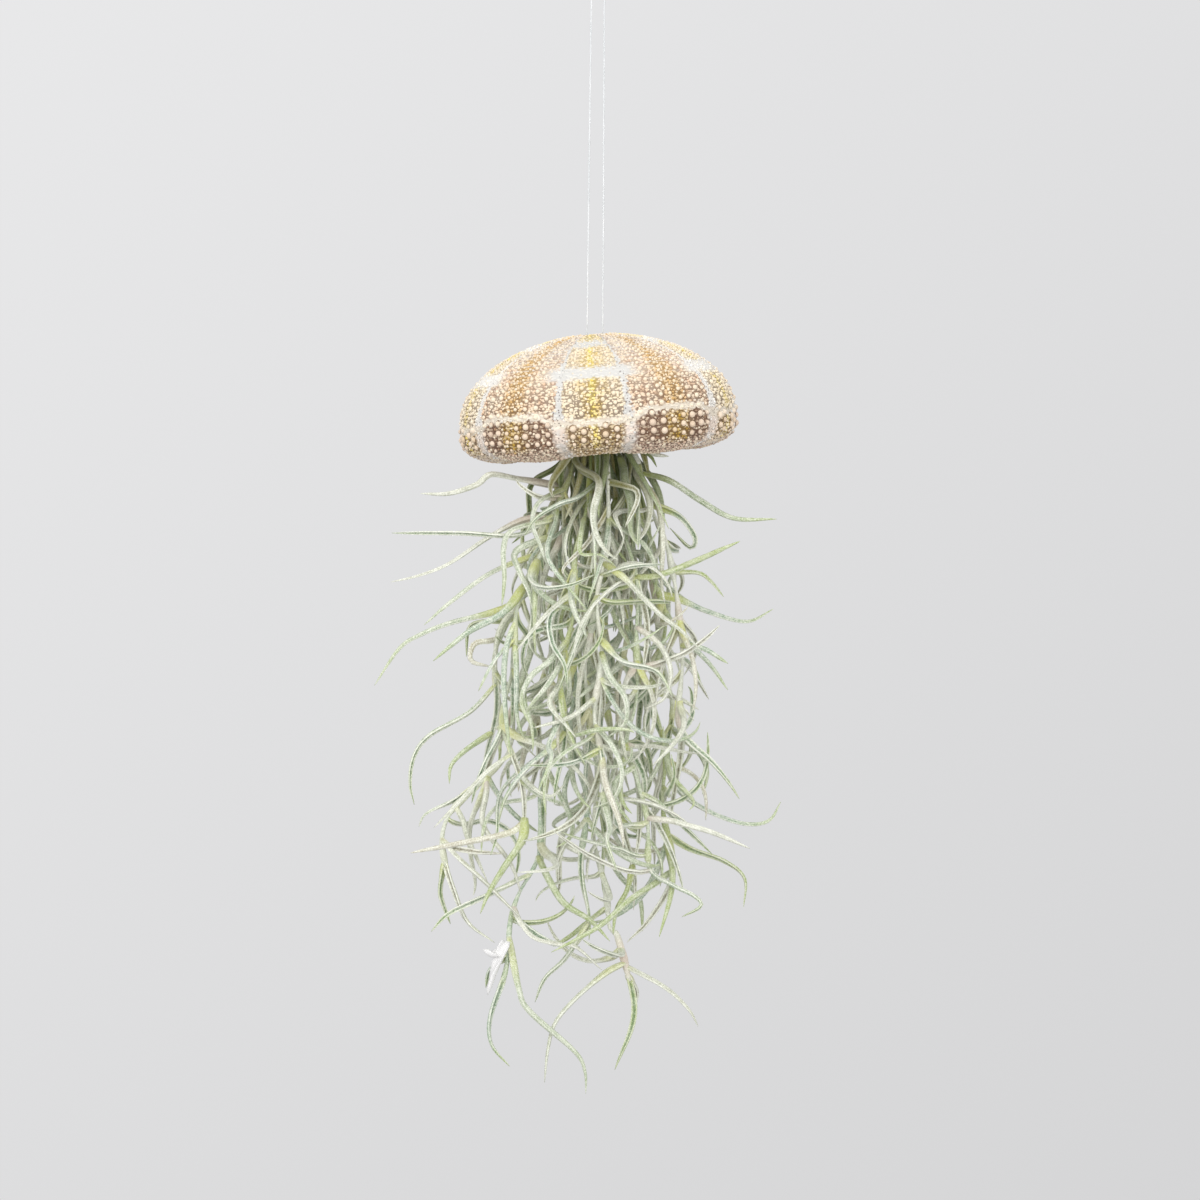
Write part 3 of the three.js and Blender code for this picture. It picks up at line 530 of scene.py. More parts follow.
# %% [markdown]
# Each panel carries its knobs in upright columns, about one to a plate, and the columns are
# staggered by part of a row. A knob takes up what room its plate has, so it is largest at the
# belly. Towards the two holes the columns draw together, so some of them thin out or end. Small
# seeded shifts keep the rows from looking ruled.

# %% Places for the knobs
# Each column: its degrees from the narrow panel's middle and its knobs' share of the full size.
KNOB_COLUMNS = [(4.6, 0.9), (9.2, 0.95), (19.6, 0.8), (24.2, 1), (29, 1), (33.6, 0.8)]
COLUMN_PITCH = math.radians(4.6)
LARGEST_KNOB = 1.12
KNOB_SPREAD = (0.78, 1.1)
KNOB_JITTER = 0.16
KNOB_EDGES = (2.2, 1.5)
KNOB_FILL = (0.36, 0.38)
CROWDED_WITHIN = 15
THINNED_WITHIN = 27
BAND_KNOBS = 0.55
BAND_DEGREES = 21
SIZE_BY_HEIGHT = ([2, 5, 7, 11, 14, 28, 36], [0.35, 0.65, 1, 1, 0.76, 0.7, 0.6])
SLOPE_STEP = 0.5
SHELL_SEED = 11
rng = np.random.default_rng(SHELL_SEED)


def outline_at(walk):
    """Radius and height of the outside, some way down its outline."""
    return [np.interp(walk, outer_walk, outer_rows[:, k]) for k in range(2)]


def on_shell(turn, walk):
    """The point and outward direction at a place on the outside, in the shell's own frame."""
    r, z = outline_at(walk)
    ahead = outline_at(np.minimum(walk + SLOPE_STEP, outer_walk[-1]))
    behind = outline_at(np.maximum(walk - SLOPE_STEP, 0))
    dr, dz = ahead[0] - behind[0], ahead[1] - behind[1]
    long = np.hypot(dr, dz)
    out, up = -dz / long, dr / long
    wide = r * swell(turn)
    point = np.column_stack([wide * np.cos(turn), wide * np.sin(turn), z + lift(turn, z)])
    normal = np.column_stack([out * np.cos(turn), out * np.sin(turn), up])
    return point, normal


def knob_places():
    """Turn, distance down the outline and radius of every knob."""
    places = []
    for sector in range(5):
        for side in (-1, 1):
            for column, (degrees, share) in enumerate(KNOB_COLUMNS):
                turn = PANEL_TURN + sector * SECTOR + side * math.radians(degrees)
                stagger = 0.25 * side + 0.5 * (column == 1)
                for k in row_numbers:
                    place = k + 0.5 + stagger
                    walk = np.interp(place, row_numbers, rows_down)
                    r, z = outline_at(walk)
                    if walk < KNOB_EDGES[0] or walk > outer_walk[-1] - KNOB_EDGES[1]:
                        continue
                    if r < CROWDED_WITHIN and column in (0, 2, 5):
                        continue
                    if r < THINNED_WITHIN and column in (0, 5) and k % 2:
                        continue
                    room = COLUMN_PITCH * r * (2 if r < CROWDED_WITHIN else 1)
                    pitch = np.interp(place, row_numbers[:-1], np.diff(rows_down))
                    full = min(LARGEST_KNOB, KNOB_FILL[0] * room, KNOB_FILL[1] * pitch)
                    size = share * full * rng.uniform(*KNOB_SPREAD) * np.interp(z, *SIZE_BY_HEIGHT)
                    if abs(z - UPPER_BAND_AT) < UPPER_BAND_HALF and degrees < BAND_DEGREES:
                        size *= BAND_KNOBS
                    jitter = rng.normal(0, KNOB_JITTER, 2)
                    places.append((turn + jitter[0] / r, walk + jitter[1], size))
    return np.array(places)


knobs = knob_places()
print("knobs:", len(knobs))

# %% [markdown]
# Granules fill what is left. They start as an even grid and are shifted a little by chance. Those
# that fall on a knob are dropped, and so are most of those on the pores and on the smooth white
# bands.

# %% Places for the granules
GRANULE_PITCH = 1.13
GRANULE_SIZES = [0.28, 0.32, 0.38, 0.44, 0.5, 0.58]
GRANULE_EDGES = (2, 0.8)
SIDEWAYS_JITTER = 0.3
UPWARDS_JITTER = 0.18
FEW = 0.22
PORE_ROW_KEPT = 0.9
KNOB_REACH = 1.15
GRANULE_REACH = 0.7


def granule_places():
    """A jittered grid of places: none on a knob, few on the pores and the smooth white bands."""
    near = []
    for walk in np.arange(GRANULE_EDGES[0], outer_walk[-1] - GRANULE_EDGES[1], GRANULE_PITCH):
        r = outline_at(walk)[0]
        for k in range(int(2 * math.pi * r / GRANULE_PITCH)):
            turn = 2 * math.pi * k * GRANULE_PITCH / (2 * math.pi * r)
            turn += rng.normal(0, SIDEWAYS_JITTER) / r
            near.append((turn, walk + rng.normal(0, UPWARDS_JITTER), rng.choice(GRANULE_SIZES)))
    near = np.array(near)
    degrees = fold_of(near[:, 0]) * HALF_SECTOR_DEGREES
    height = outline_at(near[:, 1])[1]
    low = height < LOWER_BAND_AT
    beside = np.abs(degrees - PORE_ROW_DEGREES) - low * PORE_ROW_WIDENING
    climb_from, climb_to = CLIMB_DEGREES
    climbed = np.clip((degrees - climb_from) / (climb_to - climb_from), 0, 1)
    climbing = LOWER_BAND_AT + LOWER_BAND_CLIMB * climbed
    smooth = (np.abs(height - UPPER_BAND_AT) < UPPER_BAND_HALF) & (degrees < BAND_DEGREES)
    smooth |= np.abs(height - climbing) < LOWER_BAND_HALF
    chosen = (low | smooth) & (rng.uniform(0, 1, len(near)) < FEW)
    near = near[((beside > pore_row_half(near[:, 0]) * PORE_ROW_KEPT) & ~smooth) | chosen]
    spots = on_shell(near[:, 0], near[:, 1])[0]
    knob_spots = on_shell(knobs[:, 0], knobs[:, 1])[0]
    keep = []
    for spot, size in zip(spots, near[:, 2]):
        apart = np.linalg.norm(knob_spots - spot, axis=1)
        keep.append((apart - KNOB_REACH * knobs[:, 2] - GRANULE_REACH * size).min() > 0)
    return near[np.array(keep)]


granules = granule_places()
print("granules:", len(granules))

# %% [markdown]
# All the copies of a model go into one mesh, because thousands of separate objects would be slow.
# Each copy stands square to the shell, and the face that it would hide beneath it is left out.

# %% Copies of them
UNDERSIDE = -0.9
PEARL_FROM = 0.42


def scatter(name, model, places):
    """One mesh: a copy of the model at each place, square to the shell, without its underside."""
    source = points_of(model.data)
    faces = [tuple(p.vertices) for p in model.data.polygons if p.normal.z > UNDERSIDE]
    point, normal = on_shell(places[:, 0], places[:, 1])
    turn = places[:, 0]
    across = np.column_stack([-np.sin(turn), np.cos(turn), np.zeros(len(turn))])
    along = np.cross(normal, across)
    size = places[:, 2][:, None, None]
    x, y, z = (source[None, :, k, None] for k in range(3))
    raised = x * across[:, None] + y * along[:, None] + z * normal[:, None]
    copies = point[:, None] + size * raised
    count = len(source)
    everywhere = [tuple(v + k * count for v in face) for k in range(len(places)) for face in faces]
    mesh = bpy.data.meshes.new(name)
    mesh.from_pydata(copies.reshape(-1, 3), [], everywhere)
    write(mesh, "fold", np.repeat(fold_of(turn), count))
    write(mesh, "height", np.repeat(point[:, 2], count))
    write(mesh, "row", np.repeat(np.interp(places[:, 1], rows_down, row_numbers), count))
    write(mesh, "front", np.repeat(in_front(turn), count))
    write(mesh, "pearl", np.tile(np.clip(source[:, 2] / PEARL_FROM, 0, 1), len(places)))
    write(mesh, "draw", np.repeat(rng.uniform(0, 1, len(places)), count))
    piece = bpy.data.objects.new(name, mesh)
    bpy.context.collection.objects.link(piece)
    return piece


shell_knobs = scatter("shell_knobs", knob_model, knobs)
shell_granules = scatter("shell_granules", granule_model, granules)
for model in (knob_model, granule_model):
    bpy.data.objects.remove(model)
print("faces in the granules:", len(shell_granules.data.polygons))

# %% [markdown]
# The shell hangs a little askew, as the photo shows it: it leans to one side and nods towards the
# viewer. Its three pieces are moved together, in their meshes, so that their objects stay at the
# origin.

# %% The shell in its place
shell_frame = (
    Matrix.Scale(MM, 4)
    @ Matrix.Translation(SHELL_PLACE)
    @ Matrix.Rotation(SHELL_NOD, 4, "X")
    @ Matrix.Rotation(-SHELL_LEAN, 4, "Y")
)
for piece in (shell_wall, shell_knobs, shell_granules):
    piece.data.transform(shell_frame)
    select_only(piece)
    bpy.ops.object.shade_smooth()
ride_and_slot(shell_wall, "shell", "urchin_shell")
ride_and_slot(shell_knobs, "shell")
ride_and_slot(shell_granules, "shell")
print("shell leans", round(math.degrees(SHELL_LEAN), 1), "degrees")

# %% [markdown]
# ## The moss
# Spanish moss has no roots and no real trunk: it is a string of thin stems, each a row of short
# joints, and at every joint two or three thick, tapering leaves curl away. Each strand here has its
# stem's points, set from the photo, and the leaves that can be told apart at the bunch's edge have
# points of their own. The rest grow by a rule, with the same seeded draws as in the solids, so that
# both have the same leaves in the same places.

# %% Where the strands hang
STRANDS = [
    ((2, 7), [(-8.7, -9, -171.7), (-15.3, -14, -188.3), (-24.7, -17, -215), (-29.3, -17, -238.3),
        (-30.3, -16, -255), (-28, -15, -267.3), (-22.7, -13, -296)]),
    ((2, 6), [(-12, -2, -171.7), (-18.7, -3, -195), (-26.7, -4, -215), (-32.7, -3, -231.7),
        (-34.7, -2, -248.3), (-37, -1, -272)]),
    ((2, 5), [(-10, 6, -171.7), (-16.7, 9, -201.7), (-24.3, 9, -235), (-30, 7, -263),
        (-40, 4, -276.7),
        (-47.7, 2, -285.7), (-51.3, 0, -294.3), (-51.7, -1, -303), (-49.3, -2, -311),
        (-42.7, -3, -322),
        (-33, -4, -329)]),
    ((1, 4), [(-4.3, -5, -171.7), (-6, -6, -195), (-7.7, -5, -221.7), (-8.7, -5, -255),
        (-5, -6, -281.7), (-4.3, -5, -308.3), (-4, -4, -328)]),
    ((1, 3), [(-7, 2, -171.7), (-12, 2, -201.7), (-14, 1, -231.7), (-16.7, 0, -265),
        (-20.7, -2, -298.3), (-25.7, -3, -313.3), (-31.3, -5, -335.7), (-34.7, -6, -350),
        (-34.3, -6, -362), (-29.3, -6, -370)]),
    ((1, 1), [(0.7, 3, -171.7), (1.3, 4, -201.7), (0, 4, -231.7), (-2, 3, -261.7), (0, 2, -295),
        (2.7, 0, -321), (7, -1, -327), (10.5, -2, -337), (11, -1, -351.7), (6.7, 1, -371.7)]),
    ((2, 10), [(8, -8, -171.7), (10, -13, -198.3), (14, -15, -225), (11.3, -15, -248.3),
        (10, -15, -262), (13.3, -15, -272), (15, -14, -288), (18, -12, -303.7), (25.7, -14, -309),
        (33, -15, -312.7), (34.7, -15, -316), (27.7, -15, -319.5)]),
    ((2, 0), [(12, 3, -171.7), (17.3, 4, -195), (21.3, 5, -221.7), (19.3, 4, -248.3),
        (22, 2, -271.7),
        (23.3, 1, -293.3), (23.3, 0, -310), (18, -1, -322), (10.7, -2, -329)]),
    ((2, 11), [(14, -4, -171.7), (18, -7, -185), (23, -9, -201.7), (28, -9, -218.3),
        (26.5, -9, -241.7),
        (29, -8, -258), (38, -10, -269), (45.7, -10, -281)]),
    ((2, 1), [(10.7, 9, -171.7), (15.7, 14, -195), (21.3, 18, -221.7), (24, 19, -248.3),
        (21.3, 18, -285)]),
    ((2, 4), [(-6, 11, -171.7), (-10.7, 18, -195), (-16, 22, -225), (-19.3, 24, -251.7),
        (-24, 22, -286)]),
    ((2, 3), [(1.5, 13, -171.7), (2.5, 20, -195), (3.5, 26, -228.3), (1.5, 28, -258.3),
        (4, 25, -296)]),
    ((2, 8), [(-2.5, -13, -171.7), (-5.5, -20, -195), (-9.5, -24, -221.7), (-11.5, -25, -248.3),
        (-13, -23, -282)]),
    ((2, 9), [(3.3, -12.5, -171.7), (2.7, -20, -195), (0.5, -25, -221.7), (-0.2, -26, -248.3),
        (1.2, -26, -266), (-1, -23, -294)]),
    ((1, 2), [(-3, 7, -171.7), (-3.5, 11, -201.7), (-4.8, 13, -231.7), (-3, 13, -261.7),
        (0.7, 12, -291.7), (4, 9, -318)]),
    ((1, 0), [(5.2, -1.5, -171.7), (6.4, -3, -201.7), (8.4, -4, -231.7), (6.9, -4, -261.7),
        (9, -4, -288.3), (12, -3, -318)]),
    ((2, 2), [(6, 10.5, -171.7), (9.3, 17, -198.3), (13, 23, -228.3), (16, 24, -276)]),
    ((1, 5), [(0.7, -7, -171.7), (-0.4, -12, -198.3), (-2.4, -15, -228.3), (-3.8, -15, -255),
        (-2, -14, -287)]),
]
REACHING_LEAVES = [
    (2, -177, [(-26, -8, -175), (-35.3, -16, -173.5), (-40, -18, -177), (-49.3, -20, -180),
        (-58.3, -21, -180)]),
    (1, -181, [(-19.3, -16, -181), (-25.3, -17, -177.5), (-27.2, -17, -175)]),
    (1, -187, [(-26, -17, -193.5), (-45, -20, -193), (-67.7, -22, -193)]),
    (2, -187, [(-26, -1, -188.7), (-36.7, 1, -194.3), (-49.3, 3, -202.7), (-59.3, 4, -206.7),
        (-69.3, 5, -209)]),
    (2, -200, [(-36, -6, -206.3), (-49.3, -7, -216), (-57.7, -8, -223.3)]),
    (2, -216, [(-36, -6, -219.3), (-49.3, -8, -222.7), (-59.3, -9, -226.7), (-66, -10, -231.3),
        (-74, -10, -243.3)]),
    (1, -210, [(-31, -20, -219), (-42.7, -23, -225.7), (-54, -24, -235)]),
    (2, -222, [(-39.3, 2, -222.3), (-43.3, 4, -224.8), (-44, 6, -234)]),
    (2, -228, [(-36, -10, -228.5), (-41, -12, -229.5), (-42, -13, -235), (-35.3, -14, -237)]),
    (1, -228, [(-32.7, -19, -233.3), (-36, -20, -238.3), (-39.3, -20, -245)]),
    (2, -243, [(-42.7, -1, -252.3), (-56, 0, -260), (-61.3, 1, -267), (-62.7, 1, -276),
        (-61.3, 2, -283.3)]),
    (2, -259, [(-44, -4, -265), (-48.7, -6, -270), (-49.3, -7, -276)]),
    (1, -266, [(-36.7, -17, -271.7), (-46, -18, -281.7), (-54, -18, -290)]),
    (3, -277, [(-48, 7, -282), (-57.7, 8, -286.7), (-60, 8, -291)]),
    (3, -284, [(-44.7, -1, -289), (-43.3, -3, -294.3), (-36.7, -6, -308.3)]),
    (3, -302, [(-52.7, 2, -311.7), (-51.7, 3, -316.7), (-49.3, 4, -323.3)]),
    (7, -301, [(10.7, -15, -304.5), (-2.7, -18, -299), (-14.7, -19, -291)]),
    (1, -288, [(-29.3, -16, -291.7), (-45, -18, -295), (-61.7, -18, -298.3)]),
    (5, -306, [(-36, -5, -312.7), (-49.3, -7, -319), (-55.3, -7, -325)]),
    (5, -327, [(-26, -9, -344), (-22.7, -10, -351), (-7.7, -12, -364.3), (-4.3, -12, -371),
        (-4, -12, -378.3)]),
    (5, -333, [(-36, -3, -338.3), (-37.3, -3, -344)]),
    (5, -320, [(-17, -7, -328), (-6, -9, -330)]),
    (6, -336, [(2.3, -4, -339.3), (-7.7, -6, -347.7), (-14.3, -7, -355.7), (-16.7, -8, -365),
        (-17.7, -8, -375)]),
    (6, -337, [(22.3, -3, -344), (30, -4, -351), (33.3, -4, -356.7)]),
    (6, -340, [(13, 4, -346), (12, 6, -352)]),
    (4, -322, [(-10.7, -3, -334), (-17.7, -2, -341), (-21, -1, -349)]),
    (6, -317, [(-8.7, 6, -327), (-15, 7, -331)]),
    (16, -303, [(9.7, -7, -311), (6, -8, -318), (5, -8, -326)]),
    (15, -298, [(7.3, 9, -307.3), (14, 8, -315), (15, 8, -326)]),
    (9, -173, [(24, -7, -175.5), (34, -9, -182), (45, -12, -188), (59, -14, -188.3)]),
    (9, -183, [(27, -4, -187), (32.3, -2, -194), (30.7, 0, -197.5), (24, 1, -191)]),
    (7, -206, [(19, -17, -207), (30.7, -20, -202.7), (46.7, -22, -195.7)]),
    (14, -207, [(10.7, -28, -204), (21.3, -27, -203.3)]),
    (9, -206, [(33, -10, -206), (37, -10, -208.5), (41.7, -10, -214)]),
    (8, -213, [(27.3, 8, -214.7), (37.3, 10, -219), (50, 12, -222.3), (59, 12, -218)]),
    (8, -218, [(27, 3, -226), (37, 0, -236), (43.3, -2, -245)]),
    (7, -236, [(25.7, -19, -233.7), (34, -21, -228.7), (40, -22, -223.3)]),
    (9, -230, [(35, -12, -231), (43, -14, -236)]),
    (8, -246, [(27.3, 0, -248), (33.5, -1, -251.5)]),
    (8, -270, [(27.3, 5, -279), (37.3, 7, -286), (49, 8, -290), (57.3, 9, -289),
        (61.3, 9, -282.7)]),
    (7, -284, [(25.7, -18, -288), (37.3, -20, -291.3), (50, -21, -296.7)]),
    (7, -276, [(24, -11, -285.7), (37.7, -9, -299)]),
    (8, -293, [(30.7, 3, -298), (42.3, 4, -302.3), (49, 4, -308), (48.7, 4, -317.7)]),
    (14, -176, [(9, -20, -177.5), (12.7, -22, -179), (12.9, -23, -183), (9, -25, -191)]),
    (1, -272, [(-20, -23, -277.5), (-15, -25, -279.3), (-10.7, -27, -275)]),
    (14, -247, [(-9.3, -31, -253.3), (-21, -32, -256.7)]),
    (14, -264, [(-9.3, -31, -268.3), (-22.7, -32, -269)]),
    (12, -205, [(8, 38, -212), (6, 52, -226)]),
    (12, -238, [(-3, 42, -243), (-9, 55, -240), (-12, 61, -247)]),
    (11, -214, [(-22, 34, -222), (-30, 46, -236)]),
    (11, -262, [(-28, 36, -270), (-31, 47, -272), (-30, 54, -283)]),
    (10, -232, [(31, 30, -238), (38, 40, -249)]),
    (17, -268, [(20, 36, -277), (26, 46, -292)]),
    (13, -212, [(-17, -38, -220), (-26, -49, -231)]),
    (13, -252, [(-16, -38, -262), (-15, -50, -266), (-19, -58, -276)]),
    (14, -228, [(8, -40, -235), (19, -51, -238), (24, -56, -246)]),
    (14, -278, [(4, -35, -289), (3, -46, -293), (6, -51, -302)]),
]

# %% The rule's sizes
STEM_RADIUS = 1.1
STEM_TIP_RADIUS = 0.35
STEM_TOP = -138
STEM_STRAIGHT = 6
STEM_FINE_STEPS = 12
STEM_PITCH = 2.6
STEM_WAVE = 1.3
STEM_WAVE_LENGTH = 41
STEM_WAVE_FROM = -174
STEM_WAVE_GROWS_OVER = 25
STEM_WAVE_TURN = 2.4
STEM_WAVE_SLOWER = 0.8
STEM_STEP = 11
TERMINAL_LEAF = 34
RULED_END = TERMINAL_LEAF * 0.7
BETWEEN_END = TERMINAL_LEAF * 0.6
LEAF_RADIUS = 0.98
LEAF_ROOT_RADIUS = 0.5
LEAF_TIP_RADIUS = 0.32
LEAF_FULL_AT = 0.15
LEAF_OPEN_AT = 0.28
LEAF_ROOT_SLOPE = 0.45
LEAF_FACINGS = (-0.9, 0.9)
LEAF_RANGES = {
    "opening": (0.35, 1.65), "bend": (-1.6, 1.9), "twist": (-2.5, 2.5), "length": (25, 47),
}
FINE_STEPS = 20
LEAF_STEPS = 4
REACHING_STEP = 10
REACHING_FINE_STEPS = 8
REACHING_STRETCHES = (3, 7)
NODE_SPACING = 27
FIRST_NODE = 16
TRIES = 40
SEED = 20407
NODE_TURN = 2.399963
STRAND_TURN = 1.3
DEPTH_SHIFTS = [0, -2.5, 2.5, -5, 5, -7.5, 7.5, -10, 10, -13, 13]
BUNCH_OUTLINE = [
    (-140, 12, -1), (-168, 17, 0), (-182, 27, 0), (-198, 35, 0), (-250, 38, -1),
    (-285, 43, -5), (-312, 38, -6), (-332, 26, -3), (-350, 16, 0),
]

# %% [markdown]
# A stem runs straight through the tie and then through its own points, with a slight wave below the
# mouth, because a real stem bends a little at each of its joints. Thickness is a rule too: a stem
# thins towards its last leaf, and a leaf is thickest near its foot.

# %% Stems
def seeded_draws(seed):
    """The same row of numbers from 0 to 1 as the solids were grown with."""
    state = seed

    def times(a, b):
        return (a * b) & 0xFFFFFFFF

    def draw():
        nonlocal state
        state = (state + 0x6D2B79F5) & 0xFFFFFFFF
        stirred = times(state ^ (state >> 15), 1 | state)
        again = stirred + times(stirred ^ (stirred >> 7), 61 | stirred)
        stirred = (again ^ stirred) & 0xFFFFFFFF
        return (stirred ^ (stirred >> 14)) / 4294967296

    return draw


def slot_place(ring, turn):
    """A strand's place in the tied bundle."""
    step = math.pi / 3 if ring == 1 else math.pi / 6
    straight = ring == 1 or turn % 2 == 0
    radius = ring * STEM_PITCH * (1 if straight else math.cos(math.pi / 6))
    return LINE_CENTRE_X + radius * math.cos(turn * step), radius * math.sin(turn * step)


def stem_points(slot, hung, number):
    """A stem: straight through the tie, then down its own points with a slight wave."""
    x, y = slot_place(*slot)
    tied = [(x, y, STEM_TOP), (x, y, STEM_TOP - STEM_STRAIGHT)]
    points = smoothed([*tied, *hung], STEM_FINE_STEPS)
    share = np.clip((STEM_WAVE_FROM - points[:, 2]) / STEM_WAVE_GROWS_OVER, 0, 1)
    turn = 2 * math.pi * points[:, 2] / STEM_WAVE_LENGTH + number * STEM_WAVE_TURN
    points[:, 0] += STEM_WAVE * share * np.sin(turn)
    points[:, 1] += STEM_WAVE * share * np.cos(turn * STEM_WAVE_SLOWER)
    return points


def stem_radii(far):
    share = np.clip((far[-1] - far) / TERMINAL_LEAF, 0, 1)
    return STEM_TIP_RADIUS + (STEM_RADIUS - STEM_TIP_RADIUS) * np.sqrt(share)


def leaf_radii(share):
    rest = (share - LEAF_FULL_AT) / (1 - LEAF_FULL_AT)
    body = LEAF_RADIUS + (LEAF_TIP_RADIUS - LEAF_RADIUS) * rest**2
    root = LEAF_ROOT_RADIUS + (LEAF_RADIUS - LEAF_ROOT_RADIUS) * share / LEAF_FULL_AT
    return np.where(share < LEAF_FULL_AT, root, body)


def stretches_in(points, step):
    """How many stretches of about this length a row of points is cut into."""
    return int(math.floor(walked(points)[-1] / step + 0.5))


fine_stems = [stem_points(slot, hung, i) for i, (slot, hung) in enumerate(STRANDS)]
stems = [even_points(fine, stretches_in(fine, STEM_STEP)) for fine in fine_stems]
print("stems:", len(stems), "from", round(min(walked(s)[-1] for s in stems)), "mm long")

# %% [markdown]
# Two leaves never share a place. Every stretch of stem and leaf is remembered with its thickness,
# and a new leaf is tried again, with new draws, until it passes clear of all of them and through
# the shell's mouth.

# %% Room for a leaf
shell_solid_frame = Matrix.Scale(1 / MM, 4) @ shell_frame
into_shell = np.array(shell_solid_frame.inverted())
BELOW_RING = 2
INSIDE_MOUTH = 0.8
PLACES = 6000
stretches = {
    "start": np.zeros((PLACES, 3)),
    "end": np.zeros((PLACES, 3)),
    "radius": np.zeros(PLACES),
    "strand": np.zeros(PLACES, int),
    "is_stem": np.zeros(PLACES, bool),
}
filled = 0


def remember(points, radii, strand, is_stem):
    """Writes down a row's stretches, for later leaves to keep clear of."""
    global filled
    here = slice(filled, filled + len(points) - 1)
    stretches["start"][here] = points[:-1]
    stretches["end"][here] = points[1:]
    stretches["radius"][here] = radii[:-1]
    stretches["strand"][here] = strand
    stretches["is_stem"][here] = is_stem
    filled = here.stop


def clear_of_shell(points, radii):
    """True for each point that is below the shell's ring or within its mouth."""
    local = points @ into_shell[:3, :3].T + into_shell[:3, 3]
    below = local[:, 2] < -BELOW_RING - radii
    return below | (np.hypot(local[:, 0], local[:, 1]) < MOUTH_RADIUS - INSIDE_MOUTH - radii)


def distances(a, b, c, d):
    """The shortest distances between straight stretches a to b and c to d."""
    u, v, w = b - a, d - c, a - c
    uu, uv, vv = (u * u).sum(-1), (u * v).sum(-1), (v * v).sum(-1)
    uw, vw = (u * w).sum(-1), (v * w).sum(-1)
    bottom = uu * vv - uv * uv
    safe = np.where(bottom > 1e-9, bottom, 1)
    s = np.where(bottom > 1e-9, np.clip((uv * vw - vv * uw) / safe, 0, 1), 0)
    t = np.clip((uv * s + vw) / vv, 0, 1)
    s = np.clip((uv * t - uw) / uu, 0, 1)
    return np.linalg.norm(w + s[..., None] * u - t[..., None] * v, axis=-1)


def has_room(points, radii, strand, gap=GAP):
    """True if a leaf meets no other strand, nor its own strand past the leaf's first stretches."""
    if not clear_of_shell(points[1:], radii[1:]).all():
        return False
    here = slice(0, filled)
    a, b = points[:-1, None], points[1:, None]
    apart = distances(a, b, stretches["start"][None, here], stretches["end"][None, here])
    own = stretches["strand"][here] == strand
    least = radii[:-1, None] + (stretches["radius"][here] + np.where(own, 0, gap))[None]
    number = np.arange(1, len(points))[:, None]
    first = number <= np.where(stretches["is_stem"][here], 2, 1)[None]
    return bool(((apart >= least) | (own[None] & first)).all())


def inside_bunch(points):
    """True for each point within the bunch's round outline."""
    rows = np.array(BUNCH_OUTLINE)[::-1]
    z = points[:, 2]
    radius, middle = (np.interp(z, rows[:, 0], rows[:, k]) for k in (1, 2))
    within = (z <= rows[-1, 0]) & (z >= rows[0, 0])
    return within & (np.hypot(points[:, 0] - middle, points[:, 1]) < radius)


# %% [markdown]
# A few numbers shape a leaf that grows by the rule: which way it faces, how far it opens, bends and
# twists, and how long it is. Two start at each node, on opposite sides, and the next node is turned
# on by the same angle each time. At the bunch's edge the leaves go through their own points
# instead.

# %% Leaves
def arched_leaf(root, facing, opening, bend, twist, length, sway=0.0):
    """A leaf that swings out from its stem to its own slope, then droops or lifts to the tip."""
    share = (np.arange(FINE_STEPS) + 0.5) / FINE_STEPS
    out = np.minimum(1, share / LEAF_OPEN_AT)
    late = np.maximum(0, (share - LEAF_OPEN_AT) / (1 - LEAF_OPEN_AT))
    opened = LEAF_ROOT_SLOPE + (1 - LEAF_ROOT_SLOPE) * out * (2 - out)
    slope = opening * opened + bend * late
    turn = facing + twist * share**2 + sway * np.sin(2 * math.pi * share)
    level = np.sin(slope)
    steps = np.column_stack([level * np.cos(turn), level * np.sin(turn), -np.cos(slope)])
    return root + np.vstack([[0, 0, 0], np.cumsum(steps * length / FINE_STEPS, axis=0)])


def stem_at(stem, z):
    """The stem's point at a height, and its distance along the stem."""
    i = int(np.argmax(stem[:, 2] <= z))
    step = stem[i] - stem[i - 1]
    share = (z - stem[i - 1, 2]) / step[2]
    return stem[i - 1] + step * share, walked(stem)[i - 1] + share * np.linalg.norm(step)


leaves = []


def thickness_of(coarse):
    """The radii of a leaf at its coarse points."""
    return leaf_radii(np.linspace(0, 1, len(coarse)))


def keep_leaf(strand, fine, coarse, distance):
    leaves.append({"strand": strand, "points": fine, "distance": distance})
    remember(coarse, thickness_of(coarse), strand, False)


def grow_traced_leaves(table, shifts, gap=GAP):
    """Leaves with points of their own, each shifted in depth until it is clear of the others."""
    for number, height, rest in table:
        strand = number - 1
        root, distance = stem_at(stems[strand], height)
        for shift in shifts:
            shifted = [(x, y + shift, z) for x, y, z in rest]
            shifted[0] = (rest[0][0], rest[0][1] + shift / 2, rest[0][2])
            fine = smoothed([tuple(root), *shifted], REACHING_FINE_STEPS)
            count = np.clip(stretches_in(fine, REACHING_STEP), *REACHING_STRETCHES)
            coarse = even_points(fine, count)
            if has_room(coarse, thickness_of(coarse), strand, gap):
                keep_leaf(strand, fine, coarse, distance)
                break


